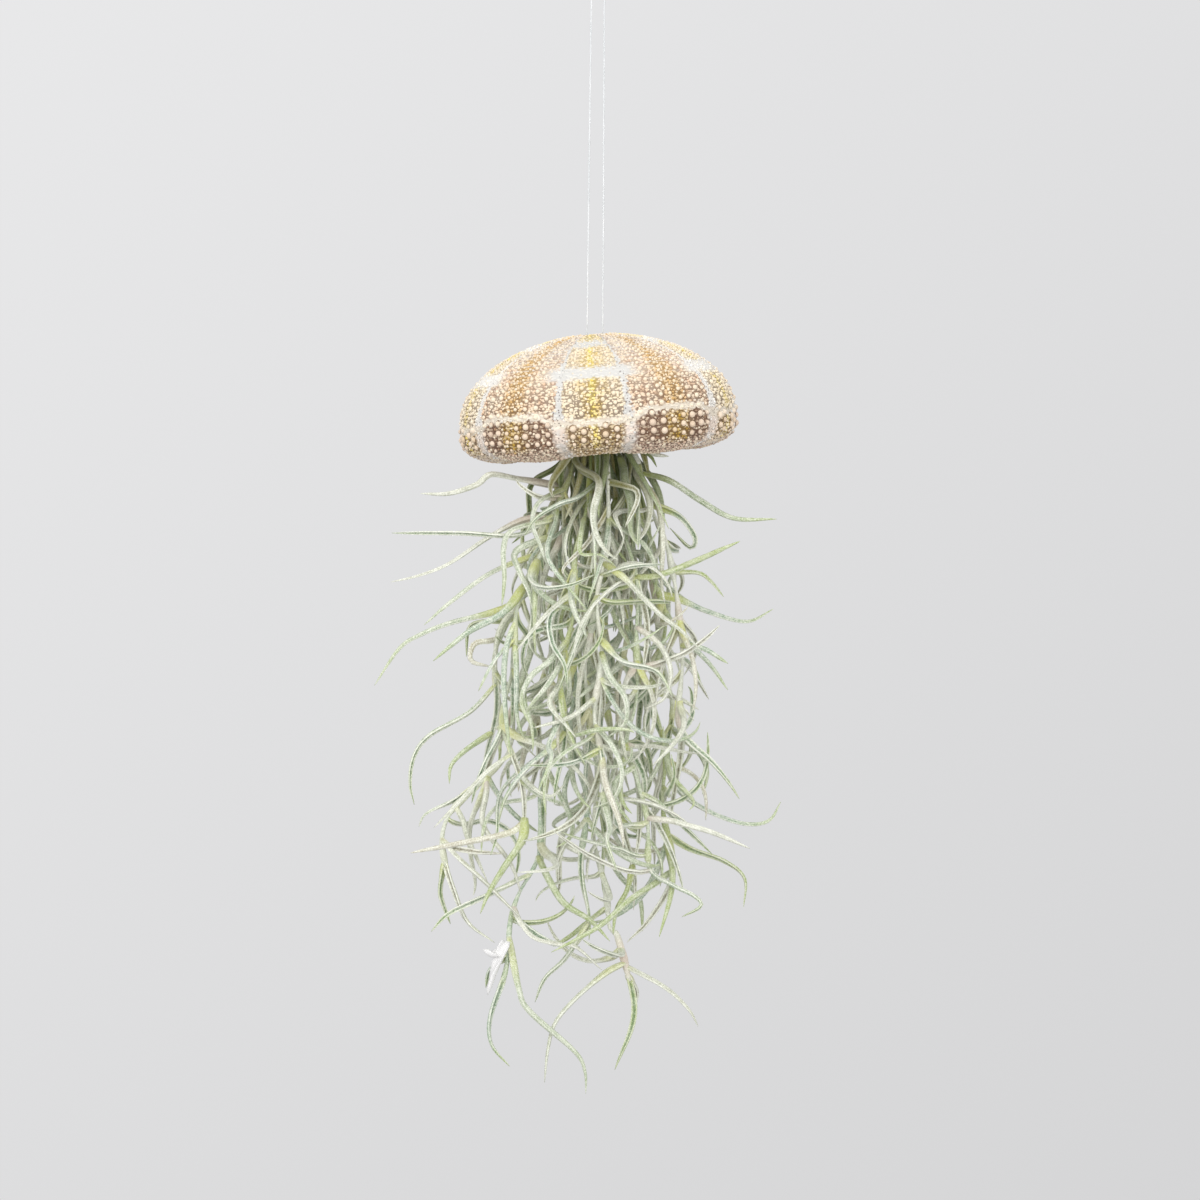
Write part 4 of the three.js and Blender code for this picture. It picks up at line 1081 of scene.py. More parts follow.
def grow_ruled_leaves():
    """Two leaves at each node of each stem, turned on by the same angle each time."""
    draw = seeded_draws(SEED)

    def between(low, high):
        return low + (high - low) * draw()

    def try_leaf(root, strand, facing, distance):
        for _ in range(TRIES):
            heading = facing + between(*LEAF_FACINGS)
            shape = {name: between(*span) for name, span in LEAF_RANGES.items()}
            fine = arched_leaf(root, heading, **shape)
            coarse = fine[:: FINE_STEPS // LEAF_STEPS]
            if inside_bunch(coarse[2:]).all() and has_room(coarse, thickness_of(coarse), strand):
                keep_leaf(strand, fine, coarse, distance)
                return

    lengths = [walked(stem)[-1] for stem in stems]
    for node in range(int((max(lengths) - FIRST_NODE) // NODE_SPACING)):
        for strand, stem in enumerate(stems):
            distance = FIRST_NODE + (node + (strand % 3) / 3) * NODE_SPACING
            if distance > lengths[strand] - RULED_END:
                continue
            facing = node * NODE_TURN + strand * STRAND_TURN
            for turn in (0, math.pi):
                try_leaf(point_at(stem, distance), strand, facing + turn, distance)


for number, stem in enumerate(stems):
    remember(stem, stem_radii(walked(stem)), number, True)
grow_traced_leaves(REACHING_LEAVES, DEPTH_SHIFTS)
grow_ruled_leaves()
print("leaves:", len(leaves))

# %% [markdown]
# These leaves are as many as the solids hold. The real bunch is denser. Some long arcs cross its
# front, and they have points of their own, as the leaves at its edge do. Just below the shell the
# stems stand so close that their leaves can only hang straight down in a sheaf. In between, more
# leaves wrap round the bunch from nodes between those of the solids. All of these keep clear of the
# others as far as a crowd can. Two short leaves come last: they lie against the shell's edge, and
# only their tips show below it.

# %% Leaves across the front
FORE_LEAVES = [
    (1, -203, [(-21, -24, -209.3), (-16, -27, -215), (-9.3, -29, -218), (-2.7, -30, -218.7)]),
    (1, -202, [(-22, -22, -208), (-17.7, -27, -211), (-8.7, -30, -210), (-1, -31, -206.7)]),
    (14, -204, [(0, -28, -217), (-0.6, -29, -224), (2, -29, -229), (6.5, -29, -233.5),
        (10, -29, -237)]),
    (14, -203, [(9, -27, -208), (14, -28, -213.3), (20.7, -27, -220), (27.3, -25, -225),
        (34, -23, -231.7)]),
    (13, -188, [(-5.5, -25, -194), (-5.5, -27, -200), (0.7, -28, -200.3), (6, -28, -204)]),
    (14, -173, [(-6, -20, -181), (-12.7, -21, -183.5), (-20.3, -22, -188.3), (-24, -22, -194)]),
    (1, -222, [(-30, -20, -230), (-31, -22, -241.7), (-30, -23, -255), (-28.7, -23, -266)]),
    (9, -176, [(20, -14, -184), (21.5, -17, -196), (21, -18, -208), (22, -18, -216)]),
    (14, -214, [(-4, -28, -222), (-6.5, -30, -228), (-9.5, -30, -236), (-13, -29, -245)]),
    (13, -212, [(-15.5, -27, -220), (-15, -29, -229), (-11, -29, -236), (-10, -29, -243)]),
    (1, -178, [(-19.5, -19, -183), (-21.5, -21, -190), (-19, -22, -197), (-16.5, -23, -204)]),
    (1, -194, [(-27, -20, -199), (-26, -22, -205), (-22.7, -24, -212), (-20.5, -25, -220),
        (-16.7, -26, -226)]),
    (1, -189, [(-28, -18, -192), (-31, -19, -198), (-30.7, -20, -208), (-31.5, -20, -217)]),
    (1, -246, [(-26, -23, -257), (-23, -26, -265), (-17, -29, -270.5), (-9, -32, -269.5),
        (2, -33, -265),
        (12, -32, -262.5), (21.3, -31, -261)]),
    (8, -242, [(18, -18, -247), (10, -25, -252), (4, -27, -258.5)]),
    (13, -246, [(-11.5, -27, -252), (-8, -29, -261.7), (-4, -30, -269)]),
    (7, -267, [(11, -19, -270), (5.7, -23, -274.5), (6, -24, -281.7), (11, -23, -288)]),
    (1, -287, [(-25, -17, -294), (-31, -18, -303.3), (-36, -18, -311.7), (-38.7, -18, -318.3)]),
    (5, -317, [(-25.5, -8, -322), (-21, -10, -327), (-13, -11, -329), (-7, -12, -330),
        (1.3, -12, -337.3)]),
    (8, -305, [(18, -7, -309), (10, -10, -314), (1.3, -11, -321.7), (-8, -12, -327),
        (-15.3, -12, -330.7)]),
    (3, -295, [(-46, -6, -301), (-38, -8, -308), (-31, -9, -315), (-26, -9, -320)]),
    (5, -300, [(-16, -8, -308), (-11, -9, -315.7), (-2.7, -10, -321), (4, -10, -328)]),
    (14, -232, [(4, -30, -240), (9, -31, -247), (9, -30, -255), (3, -29, -260)]),
    (7, -222, [(20, -20, -229), (24, -22, -238), (22, -22, -247), (15, -22, -251)]),
    (13, -228, [(-16, -28, -235), (-22, -29, -240), (-25, -29, -248), (-22, -29, -256)]),
    (14, -256, [(5, -30, -263), (8, -31, -272), (5, -31, -280), (-2, -30, -283)]),
]
FORE_SHIFTS = [0, -2, 2, -4, -6, 4, -8, -10]
CROWDED = -0.5
SOLID_LEAVES = len(leaves)

grow_traced_leaves(FORE_LEAVES, FORE_SHIFTS, CROWDED)
FORE_END = len(leaves)
print("leaves across the front:", FORE_END - SOLID_LEAVES)

# %% The sheaf, the wrapping leaves and the two at the rim
SHEAF_SEED = 41
SHEAF_LEAVES = 18
SHEAF_ROOTS = (3, 34)
SHEAF_SHAPE = {"sideways": 1.5, "opening": (0.08, 0.62), "bend": (-1.1, 1.1), "length": (28, 50)}
BETWEEN_SEED = 517
BETWEEN_LOWEST = -296
BETWEEN_SPACING = NODE_SPACING * 0.7
BETWEEN_SHAPE = {"sideways": 0.7, "opening": (0.6, 2.0), "bend": (-2.7, 2.9), "length": (26, 52)}
TWISTS = (-2.6, 2.6)
SWAYS = (-1.2, 1.2)
RIM_LEAVES = [
    (9, -156, [(13, -8, -162), (18, -10, -166.3), (23.5, -11, -167.5)]),
    (9, -160, [(14, -8, -165), (17.6, -10, -167.5), (19.5, -10, -171)]),
]


def grow_one(draw, strand, distance, sideways, opening, bend, length):
    """A leaf that starts off more or less round the bunch, into what room is left."""
    root = point_at(stems[strand], distance)
    for _ in range(TRIES):
        around = math.atan2(root[1], root[0]) + draw.choice((-1, 1)) * math.pi / 2
        fine = arched_leaf(
            root,
            facing=around + draw.normal(0, sideways),
            opening=draw.uniform(*opening),
            bend=draw.uniform(*bend),
            twist=draw.uniform(*TWISTS),
            length=draw.uniform(*length),
            sway=draw.uniform(*SWAYS),
        )
        coarse = fine[:: FINE_STEPS // LEAF_STEPS]
        roomy = has_room(coarse, thickness_of(coarse), strand, CROWDED)
        if roomy and inside_bunch(coarse[2:]).all():
            keep_leaf(strand, fine, coarse, distance)
            return


def grow_sheaf():
    """The leaves that leave the mouth with the stems."""
    draw = np.random.default_rng(SHEAF_SEED)
    for _ in range(SHEAF_LEAVES):
        strand = int(draw.integers(len(stems)))
        grow_one(draw, strand, draw.uniform(*SHEAF_ROOTS), **SHEAF_SHAPE)


def grow_between_leaves():
    """A leaf at nodes between those of the solids."""
    draw = np.random.default_rng(BETWEEN_SEED)
    for strand, stem in enumerate(stems):
        long = walked(stem)[-1] - BETWEEN_END
        for distance in np.arange(FIRST_NODE + NODE_SPACING / 2, long, BETWEEN_SPACING):
            if point_at(stem, distance)[2] > BETWEEN_LOWEST:
                grow_one(draw, strand, distance, **BETWEEN_SHAPE)


def lay_rim_leaves():
    """Two short dark leaves whose tips show below the shell's edge."""
    for number, height, rest in RIM_LEAVES:
        root, distance = stem_at(stems[number - 1], height)
        fine = smoothed([tuple(root), *rest], REACHING_FINE_STEPS)
        keep_leaf(number - 1, fine, even_points(fine, REACHING_STRETCHES[0]), distance)


grow_sheaf()
grow_between_leaves()
lay_rim_leaves()
print("all leaves:", len(leaves), "stretches:", filled)

# %% [markdown]
# ## Leaves and stems as modelled
# Up close a leaf is a thick channel: round behind, grooved along its upper side, widest near its
# foot and drawn out to a fine tip. A curve carries that section along each leaf. The points' radii
# give the taper, and their tilts turn the groove towards the stem's growing end, where a real leaf
# has it. The foot of every leaf is a sheath wrapped round the stem, so the stems swell at each
# node. One old sheath at the lower left has dried white and torn in two, and one node at the bottom
# of the bunch is swollen and pink.

# %% The sections
LEAF_SECTION = [
    (1, 0.34), (0.8, 0.56), (0.38, 0.2), (0, 0.06), (-0.38, 0.2), (-0.8, 0.56),
    (-1, 0.34), (-0.9, -0.2), (-0.54, -0.62), (0, -0.8), (0.54, -0.62), (0.9, -0.2),
]
GROOVE = [0, 0, 0.6, 1, 0.6, 0, 0.1, 0.5, 0.15, 0.4, 0.15, 0.5]
MARGIN = [0.8, 1, 0.2, 0, 0.2, 1, 0.7, 0.1, 0.35, 0.1, 0.35, 0.1]
STEM_SIDES = 8


def section_of(name, corners):
    """A closed flat outline, one millimetre to the unit, for curves to carry."""
    data = bpy.data.curves.new(name, "CURVE")
    data.dimensions = "2D"
    spline = data.splines.new("POLY")
    spline.points.add(len(corners) - 1)
    for point, (x, y) in zip(spline.points, corners):
        point.co = (x * MM, y * MM, 0, 1)
    spline.use_cyclic_u = True
    thing = bpy.data.objects.new(name, data)
    bpy.context.collection.objects.link(thing)
    return thing


stem_turns = np.linspace(0, 2 * math.pi, STEM_SIDES + 1)[:-1]
leaf_section = section_of("leaf_section", LEAF_SECTION)
stem_section = section_of("stem_section", [(math.cos(a), math.sin(a)) for a in stem_turns])
print("corners in a leaf's section:", len(LEAF_SECTION))

# %% [markdown]
# A row is what a curve needs for one leaf: even points with a radius and a tilt for each, and the
# facts that the finish reads. No two leaves lie quite alike, so each is turned and curled a little
# by a seeded draw, and a short leaf is thinner than a long one.

# %% The rows that the sections follow
LEAF_WIDTHS = ([0, 0.07, 0.25, 0.55, 0.8, 0.94, 1], [0.85, 1.1, 1.08, 0.98, 0.72, 0.4, 0.1])
FULL_GIRTH_FROM = 36
SHORT_GIRTH = 0.75
LEAF_TURN = 0.5
LEAF_CURL = 1.1
LEAST_RINGS = 8
LEAF_SHEATH = 0.3
LEAF_SHEATH_SWELL = 0.4
BROAD_AT_MOUTH = 34
SHEATH_SWELL = ([-9, -7, -4, -1, 1.2, 2.5], [0, 0.22, 0.55, 0.7, 0.5, 0])
SHEATH_FULLNESS = (0.3, 0.6, 1)
SHEATH_YELLOWS = (0, 0.5, 1.2)
BARE_STEM = 0.6
STEM_END = 0.3
STEM_INTO_LEAF = 4
LEAF_ROW = 1.6
STEM_ROW = 1.3


def groove_tilt(points, wanted):
    """The tilt that turns the grooved side of a curve's section to the wanted direction."""
    along = Vector(points[1] - points[0]).normalized()
    up = along.to_track_quat("Z", "Y") @ Vector((0, 1, 0))
    return math.atan2(Vector(wanted).dot(along.cross(up)), Vector(wanted).dot(up))


def leaf_row(points, wanted, draw, girth=1.0, sheath=0.0):
    """A leaf's even points with its radii, its tilts and the facts that its colours need."""
    long = walked(points)[-1]
    rows = even_points(points, max(LEAST_RINGS, int(round(long / LEAF_ROW))))
    share = np.linspace(0, 1, len(rows))
    grown = SHORT_GIRTH + (1 - SHORT_GIRTH) * min(1, long / FULL_GIRTH_FROM)
    tilts = groove_tilt(rows, wanted) + draw.normal(0, LEAF_TURN)
    tilts = tilts + draw.normal(0, LEAF_CURL) * share
    wrapped = sheath * np.clip(2 * (1 - share / LEAF_SHEATH), 0, 1)
    widths = np.interp(share, *LEAF_WIDTHS) * girth * grown * (1 + LEAF_SHEATH_SWELL * wrapped)
    return rows, widths, tilts, share, draw.uniform(0, 1), wrapped


def stem_row(fine, nodes, draw):
    """A stem's even points, swollen by a sheath at each node, up to its last leaf."""
    rows = even_points(fine, int(walked(fine)[-1] / STEM_ROW))
    far = walked(rows)
    kept = far < far[-1] - TERMINAL_LEAF + STEM_INTO_LEAF
    rows, far = rows[kept], far[kept]
    swell, yellow = np.zeros(len(rows)), np.zeros(len(rows))
    for node in nodes:
        rise = np.interp(far - node, *SHEATH_SWELL) * draw.choice(SHEATH_FULLNESS)
        yellow = np.maximum(yellow, rise * draw.choice(SHEATH_YELLOWS))
        swell = np.maximum(swell, rise)
    radii = BARE_STEM + swell
    radii[-1] = STEM_END
    return rows, radii, np.zeros(len(rows)), yellow, draw.uniform(0, 1)


# %% [markdown]
# Each strand is one piece: its leaves and its stem are swept as curves, made meshes, joined and
# closed at their ends. The solids' leaves and those across the front keep their full thickness. The
# added inner ones are more slender, except for the broad ones that start near the mouth.

# %% One strand
TOWARDS_VIEWER = (0, -1, 0)
UPWARDS = (0, 0, 1)
FIRM_GIRTH = (0.92, 1.14)
SLENDER_GIRTH = (0.8, 1.02)
MOUTH_GIRTH = (1, 1.6)
PAPERY_STRAND = 5
PAPERY_SHEATH = [
    [(-30.5, -7, -328), (-32.6, -8, -333), (-34.8, -8, -339), (-36.6, -8, -346)],
    [(-32, -7, -332), (-35, -8, -332.4), (-38, -8, -331)],
]
PAPERY_GIRTH = 1.9
DRY_TONE = 1.5
PINK_STRAND = 6
PINK_NODE_AT = -334
PINK_NODE_HALF = 9
PINK_NODE_RADIUS = 1.5
PINK_NODE_SHEATH = 1.2
PINK_TONE = 0.98
STRAND_SEED = 700
LEAF_SHEATHS = (0, 0.3, 1)
ROOT_SHARE = 0.3
LAST_LEAF_FACING = (0.3, -1, 0)
LAST_NODE_LOW = 2


def carried(name, rows, section, sides):
    """A mesh of the section carried along all the rows, ring by ring."""
    piece = to_mesh(curve_of(name, [row[:3] for row in rows], section=section))
    assert len(piece.data.vertices) == sides * sum(len(row[0]) for row in rows)
    return piece


def leaves_mesh(name, rows):
    """The leaves as one mesh, with the facts that the finish reads at each point."""
    corners = len(LEAF_SECTION)
    piece = carried(name, rows, leaf_section, corners)
    rings = [len(row[0]) for row in rows]
    for label, pattern in (("groove", GROOVE), ("margin", MARGIN)):
        write(piece.data, label, np.tile(pattern, sum(rings)))
    for label, k in (("along", 3), ("sheath", 5)):
        write(piece.data, label, np.repeat(np.concatenate([row[k] for row in rows]), corners))
    write(piece.data, "tone", np.repeat([row[4] for row in rows], np.array(rings) * corners))
    return piece


def stem_mesh(name, row):
    piece = carried(name, [row], stem_section, STEM_SIDES)
    count = len(piece.data.vertices)
    for label in ("along", "groove", "margin"):
        write(piece.data, label, np.zeros(count))
    write(piece.data, "sheath", np.repeat(row[3], STEM_SIDES))
    write(piece.data, "tone", np.full(count, row[4]))
    return piece


def fine_distance(strand, distance):
    """How far along the smooth stem a leaf's root lies."""
    return distance / walked(stems[strand])[-1] * walked(fine_stems[strand])[-1]


def fine_place(strand, distance):
    """The point and direction of the smooth stem at a leaf's root."""
    fine, far = fine_stems[strand], fine_distance(strand, distance)
    point = point_at(fine, far)
    return point, point_at(fine, far + 1) - point


def papery_rows(draw):
    """The torn halves of one old sheath, which has dried white."""
    rows = []
    for points in PAPERY_SHEATH:
        points = smoothed(points, REACHING_FINE_STEPS)
        row = leaf_row(points, TOWARDS_VIEWER, draw, PAPERY_GIRTH)
        rows.append((*row[:4], DRY_TONE, row[5]))
    return rows


def with_pink_node(row):
    """The stem whose lowest node is a swollen pink one."""
    rows, radii, tilts = row[:3]
    full = np.clip(1 - np.abs(rows[:, 2] - PINK_NODE_AT) / PINK_NODE_HALF, 0, 1)
    radii = np.maximum(radii, PINK_NODE_RADIUS * np.sqrt(full))
    return rows, radii, tilts, PINK_NODE_SHEATH * full, PINK_TONE


def moss_strand(strand):
    """One strand: its leaves, its last leaf, and its stem with a sheath at each of the nodes."""
    draw = np.random.default_rng(STRAND_SEED + strand)
    rows, nodes = [], set()
    for number, leaf in enumerate(leaves):
        if leaf["strand"] != strand:
            continue
        foot, onward = fine_place(strand, leaf["distance"])
        share = np.linspace(0, 1, len(leaf["points"]))
        shift = np.clip(1 - share / ROOT_SHARE, 0, 1)[:, None] * (foot - leaf["points"][0])
        girths = MOUTH_GIRTH if leaf["distance"] < BROAD_AT_MOUTH else SLENDER_GIRTH
        girth = draw.uniform(*(FIRM_GIRTH if number < FORE_END else girths))
        sheath = draw.choice(LEAF_SHEATHS) if number < FORE_END else 0
        rows.append(leaf_row(leaf["points"] + shift, onward, draw, girth, sheath))
        if number < SOLID_LEAVES:
            nodes.add(round(fine_distance(strand, leaf["distance"])))
    fine = fine_stems[strand]
    far = walked(fine)
    last = fine[far > far[-1] - TERMINAL_LEAF]
    rows.append(leaf_row(last, LAST_LEAF_FACING, draw))
    nodes.add(round(far[-1] - TERMINAL_LEAF + LAST_NODE_LOW))
    if strand + 1 == PAPERY_STRAND:
        rows.extend(papery_rows(draw))
    row = stem_row(fine, sorted(nodes), draw)
    if strand + 1 == PINK_STRAND:
        row = with_pink_node(row)
    name = f"moss_strand_{strand + 1:02d}"
    piece = leaves_mesh(name, rows)
    stem = stem_mesh(name + "_stem", row)
    select_only(piece)
    stem.select_set(True)
    bpy.ops.object.join()
    bpy.ops.object.mode_set(mode="EDIT")
    bpy.ops.mesh.select_all(action="SELECT")
    bpy.ops.mesh.fill_holes(sides=len(LEAF_SECTION))
    bpy.ops.mesh.normals_make_consistent(inside=False)
    bpy.ops.object.mode_set(mode="OBJECT")
    bpy.ops.object.shade_smooth()
    ride_and_slot(piece, "moss", f"strand_{strand + 1:02d}")
    return piece


strands = [moss_strand(strand) for strand in range(len(STRANDS))]
print("faces in the strands:", sum(len(piece.data.polygons) for piece in strands))

# %% [markdown]
# Above the tie the strands' tops are folded over, and they hold the moss in the shell. They arch up
# to just under the shell's inside and down again, so they are laid out in the shell's own frame, as
# the solids are.

# %% The folded tops
CROWN_ARMS = [38, 64, 90, 116, 142, 218, 244, 270, 296, 322]
CROWN_CORE = [(0.4, 30.4), (2.6, 31.5), (1.8, 34.6), (0.3, 36.6)]
CROWN_CORES = 8
CROWN_BEND = 14
CROWN_CLEARANCE = 0.1
CROWN_FINE_STEPS = 6
CROWN_SEED = 61


def inside_height(r):
    """The height of the shell's inside over a distance from its axis."""
    share = r / (SHELL_RADIUS - SHELL_WALL)
    return SHELL_WIDEST_AT + (DOME_RISE - SHELL_WALL) * math.sqrt(1 - share**2)


def crown_route(number, degrees):
    """An arm from the crown's middle, out under the shell and down."""
    turn = math.radians(degrees)
    under = GAP + STEM_RADIUS + CROWN_CLEARANCE
    low = inside_height(CROWN_BEND) - under
    droop = number % 3
    rows = [
        (1.2, 34.5), (5, inside_height(5) - under), (10, inside_height(10) - under),
        (CROWN_BEND, low - 2.2), (16.4, low - 7 - droop), (15.6, low - 12 - 2 * droop),
    ]
    return [(r * math.cos(turn), r * math.sin(turn), z) for r, z in rows]


def into_place(points):
    place = np.array(shell_solid_frame)
    return np.asarray(points) @ place[:3, :3].T + place[:3, 3]


def moss_crown():
    draw = np.random.default_rng(CROWN_SEED)
    rows = []
    for number, degrees in enumerate(CROWN_ARMS):
        arm = smoothed(crown_route(number, degrees), CROWN_FINE_STEPS)
        rows.append(leaf_row(into_place(arm), UPWARDS, draw))
    for turn in np.arange(0, 2 * math.pi, 2 * math.pi / CROWN_CORES):
        core = [(r * math.cos(turn + z / 3), r * math.sin(turn + z / 3), z) for r, z in CROWN_CORE]
        core = smoothed(core, CROWN_FINE_STEPS)
        rows.append(leaf_row(into_place(core), UPWARDS, draw))
    piece = leaves_mesh("moss_crown_tops", rows)
    bpy.ops.object.shade_smooth()
    return ride_and_slot(piece, "moss", "moss_crown")


crown = moss_crown()
for section in (leaf_section, stem_section):
    bpy.data.objects.remove(section)
print("faces in the crown:", len(crown.data.polygons))

# %% [markdown]
# ## Finishes
# Every finish is made of nodes. A few helpers keep them short: one adds a node with its inputs set
# or linked, and the others are the sums, steps and mixes that most patterns need. Colours are given
# as a painter reads them from a screen, from 0 to 255, and turned into the linear values that
# Blender works with.

# %% Node helpers
def feed(tree, node, inputs):
    """Links each input to a node's output, or sets it to a value."""
    for key, value in inputs.items():
        if isinstance(value, bpy.types.NodeSocket):
            tree.links.new(value, node.inputs[key])
        else:
            node.inputs[key].default_value = value


def put(tree, kind, inputs=None, **settings):
    node = tree.nodes.new("ShaderNode" + kind)
    for name, value in settings.items():
        setattr(node, name, value)
    feed(tree, node, inputs or {})
    return node


def maths(tree, operation, *values, clamp=False):
    inputs = dict(enumerate(values))
    return put(tree, "Math", inputs, operation=operation, use_clamp=clamp).outputs[0]


def scaled(tree, value, by, plus, clamp=False):
    """The value times one number or share, plus another."""
    return maths(tree, "MULTIPLY_ADD", value, by, plus, clamp=clamp)


def less(tree, share, part=1.0):
    """1 where the share is 0, and less by the given part where it is 1."""
    return scaled(tree, share, -part, 1.0)


def both(tree, *shares):
    """The shares multiplied, so that all of them have to hold."""
    result = shares[0]
    for share in shares[1:]:
        result = maths(tree, "MULTIPLY", result, share)
    return result


def either(tree, *shares):
    """The largest of the shares."""
    result = shares[0]
    for share in shares[1:]:
        result = maths(tree, "MAXIMUM", result, share)
    return result


def step_between(tree, value, low, high):
    """0 below the low value and 1 above the high one, smoothly; low may be the larger."""
    inputs = {"Value": value, "From Min": low, "From Max": high}
    return put(tree, "MapRange", inputs, interpolation_type="SMOOTHSTEP").outputs["Result"]


def mixed(tree, share, first, second):
    return put(tree, "Mix", {0: share, 6: first, 7: second}, data_type="RGBA").outputs[2]


def band(tree, value, middle, half, soft):
    """1 within half a width of the middle, and a soft edge beyond."""
    off = maths(tree, "ABSOLUTE", maths(tree, "SUBTRACT", value, middle))
    return step_between(tree, off, half + soft, half - soft)


def fact(tree, name):
    return put(tree, "Attribute", attribute_name=name).outputs["Fac"]


def rgb(red, green, blue):
    """A screen's colour in linear values."""
    shares = [c / 255 for c in (red, green, blue)]
    return (*[s / 12.92 if s <= 0.04045 else ((s + 0.055) / 1.055) ** 2.4 for s in shares], 1)


def place_on_object(tree):
    return put(tree, "TexCoord").outputs["Object"]


def noise(tree, scale, detail, roughness=0.5):
    inputs = {"Scale": scale, "Detail": detail, "Roughness": roughness}
    inputs["Vector"] = place_on_object(tree)
    return put(tree, "TexNoise", inputs).outputs["Fac"]


def bumped(tree, height, strength, distance):
    inputs = {"Height": height, "Strength": strength, "Distance": distance}
    return put(tree, "Bump", inputs).outputs["Normal"]


def new_finish(name):
    material = bpy.data.materials.new(name)
    material.use_nodes = True
    return material, material.node_tree, material.node_tree.nodes["Principled BSDF"]


def dress(piece, material):
    piece.data.materials.clear()
    piece.data.materials.append(material)


# %% [markdown]
# Two effects serve more than one finish, so they are node groups. "mottle" is a speckle, fine and
# coarse. "panels" is the shell's plaid, worked out from each point's place among the panels.

# %% Mottle
def new_group(name, inputs, outputs):
    group = bpy.data.node_groups.new(name, "ShaderNodeTree")
    for label, value in inputs:
        socket = group.interface.new_socket(label, in_out="INPUT", socket_type="NodeSocketFloat")
        socket.default_value = value
    for label, kind in outputs:
        group.interface.new_socket(label, in_out="OUTPUT", socket_type=kind)
    given = group.nodes.new("NodeGroupInput").outputs
    return group, given, group.nodes.new("NodeGroupOutput")


def make_mottle():
    """Fine and coarse specks, from 0 to 1; the grain is in millimetres."""
    inputs = [("Grain", 0.5), ("Sharpness", 0.1)]
    outputs = [("Fine", "NodeSocketFloat"), ("Coarse", "NodeSocketFloat")]
    group, given, result = new_group("mottle", inputs, outputs)
    low = maths(group, "SUBTRACT", 0.5, given["Sharpness"])
    high = maths(group, "ADD", 0.5, given["Sharpness"])
    for label, times in (("Fine", 1), ("Coarse", 7)):
        scale = maths(group, "DIVIDE", 1000 / times, given["Grain"])
        specks = noise(group, scale, 2.0, 0.6)
        feed(group, result, {label: step_between(group, specks, low, high)})
    return group


mottle = make_mottle()


def speckle(tree, grain, sharpness):
    return put(tree, "Group", {"Grain": grain, "Sharpness": sharpness}, node_tree=mottle).outputs


# %% [markdown]
# The leaves are green beneath, but fine scales cover them and catch the light, so they look
# grey-green and frosted, most of all along the margins. The groove keeps a greener or a browner
# line, young tips are green and the sheaths at the nodes are yellow-green or buff. Shade is painted
# into the crowded leaves under the mouth as a deeper green with less frost and less yellow, and
# into the lowest leaves as less frost.

# %% The leaves' finish
# A leaf's tone is a number of its own from 0 to 1, or above that for the dried sheath. It picks
# which of these looks the leaf has.
TEAL_TONES = (0.32, 0.05, 0.01)
BUFF_TONES = (0.72, 0.04, 0.01)
BRIGHT_TONES = (0.17, 0.07)
YOUNG_TONES = (0.6, 0.4)
BROWN_GROOVE_TONES = (0.55, 0.6)
# Which leaves take olive in the painted shade.
SHADE_OLIVE_TONES = (0.4, 0.9)
WEATHERED_TONES = (0.78, 0.82)
BUFF_NODE_TONES = (0.8, 0.95)
NOT_PINK_TONES = (0.97, 0.95)
PAPER_TONES = (1.1, 1.3)
LEAF_GREEN = rgb(142, 164, 112)
LEAF_GREY = rgb(192, 195, 177)
LEAF_TEAL = rgb(122, 154, 128)
LEAF_BUFF = rgb(186, 174, 148)
FROST = rgb(240, 241, 228)
GROOVE_GREEN = rgb(88, 118, 80)
GROOVE_BROWN = rgb(114, 106, 78)
SHEATH_YELLOW = rgb(202, 206, 108)
NODE_BUFF = rgb(212, 192, 178)
PAPER_WHITE = rgb(226, 225, 224)
BRIGHT_GREEN = rgb(168, 180, 92)
TIP_GREEN = rgb(171, 186, 104)
# Colours of the painted shade inside the bunch.
SHADE_GREEN = rgb(86, 100, 14)
SHADE_OLIVE = rgb(166, 152, 48)
LEAF_BUMP = 0.00012
# Where the painted shade lies: heights and distances from the upright axis, in metres.
SHADE_HEIGHTS, SHADE_RADII = (-0.212, -0.165), (0.03, 0.013)
MOUTH_HEIGHTS, MOUTH_RADII = (-0.205, -0.173), (0.029, 0.021)


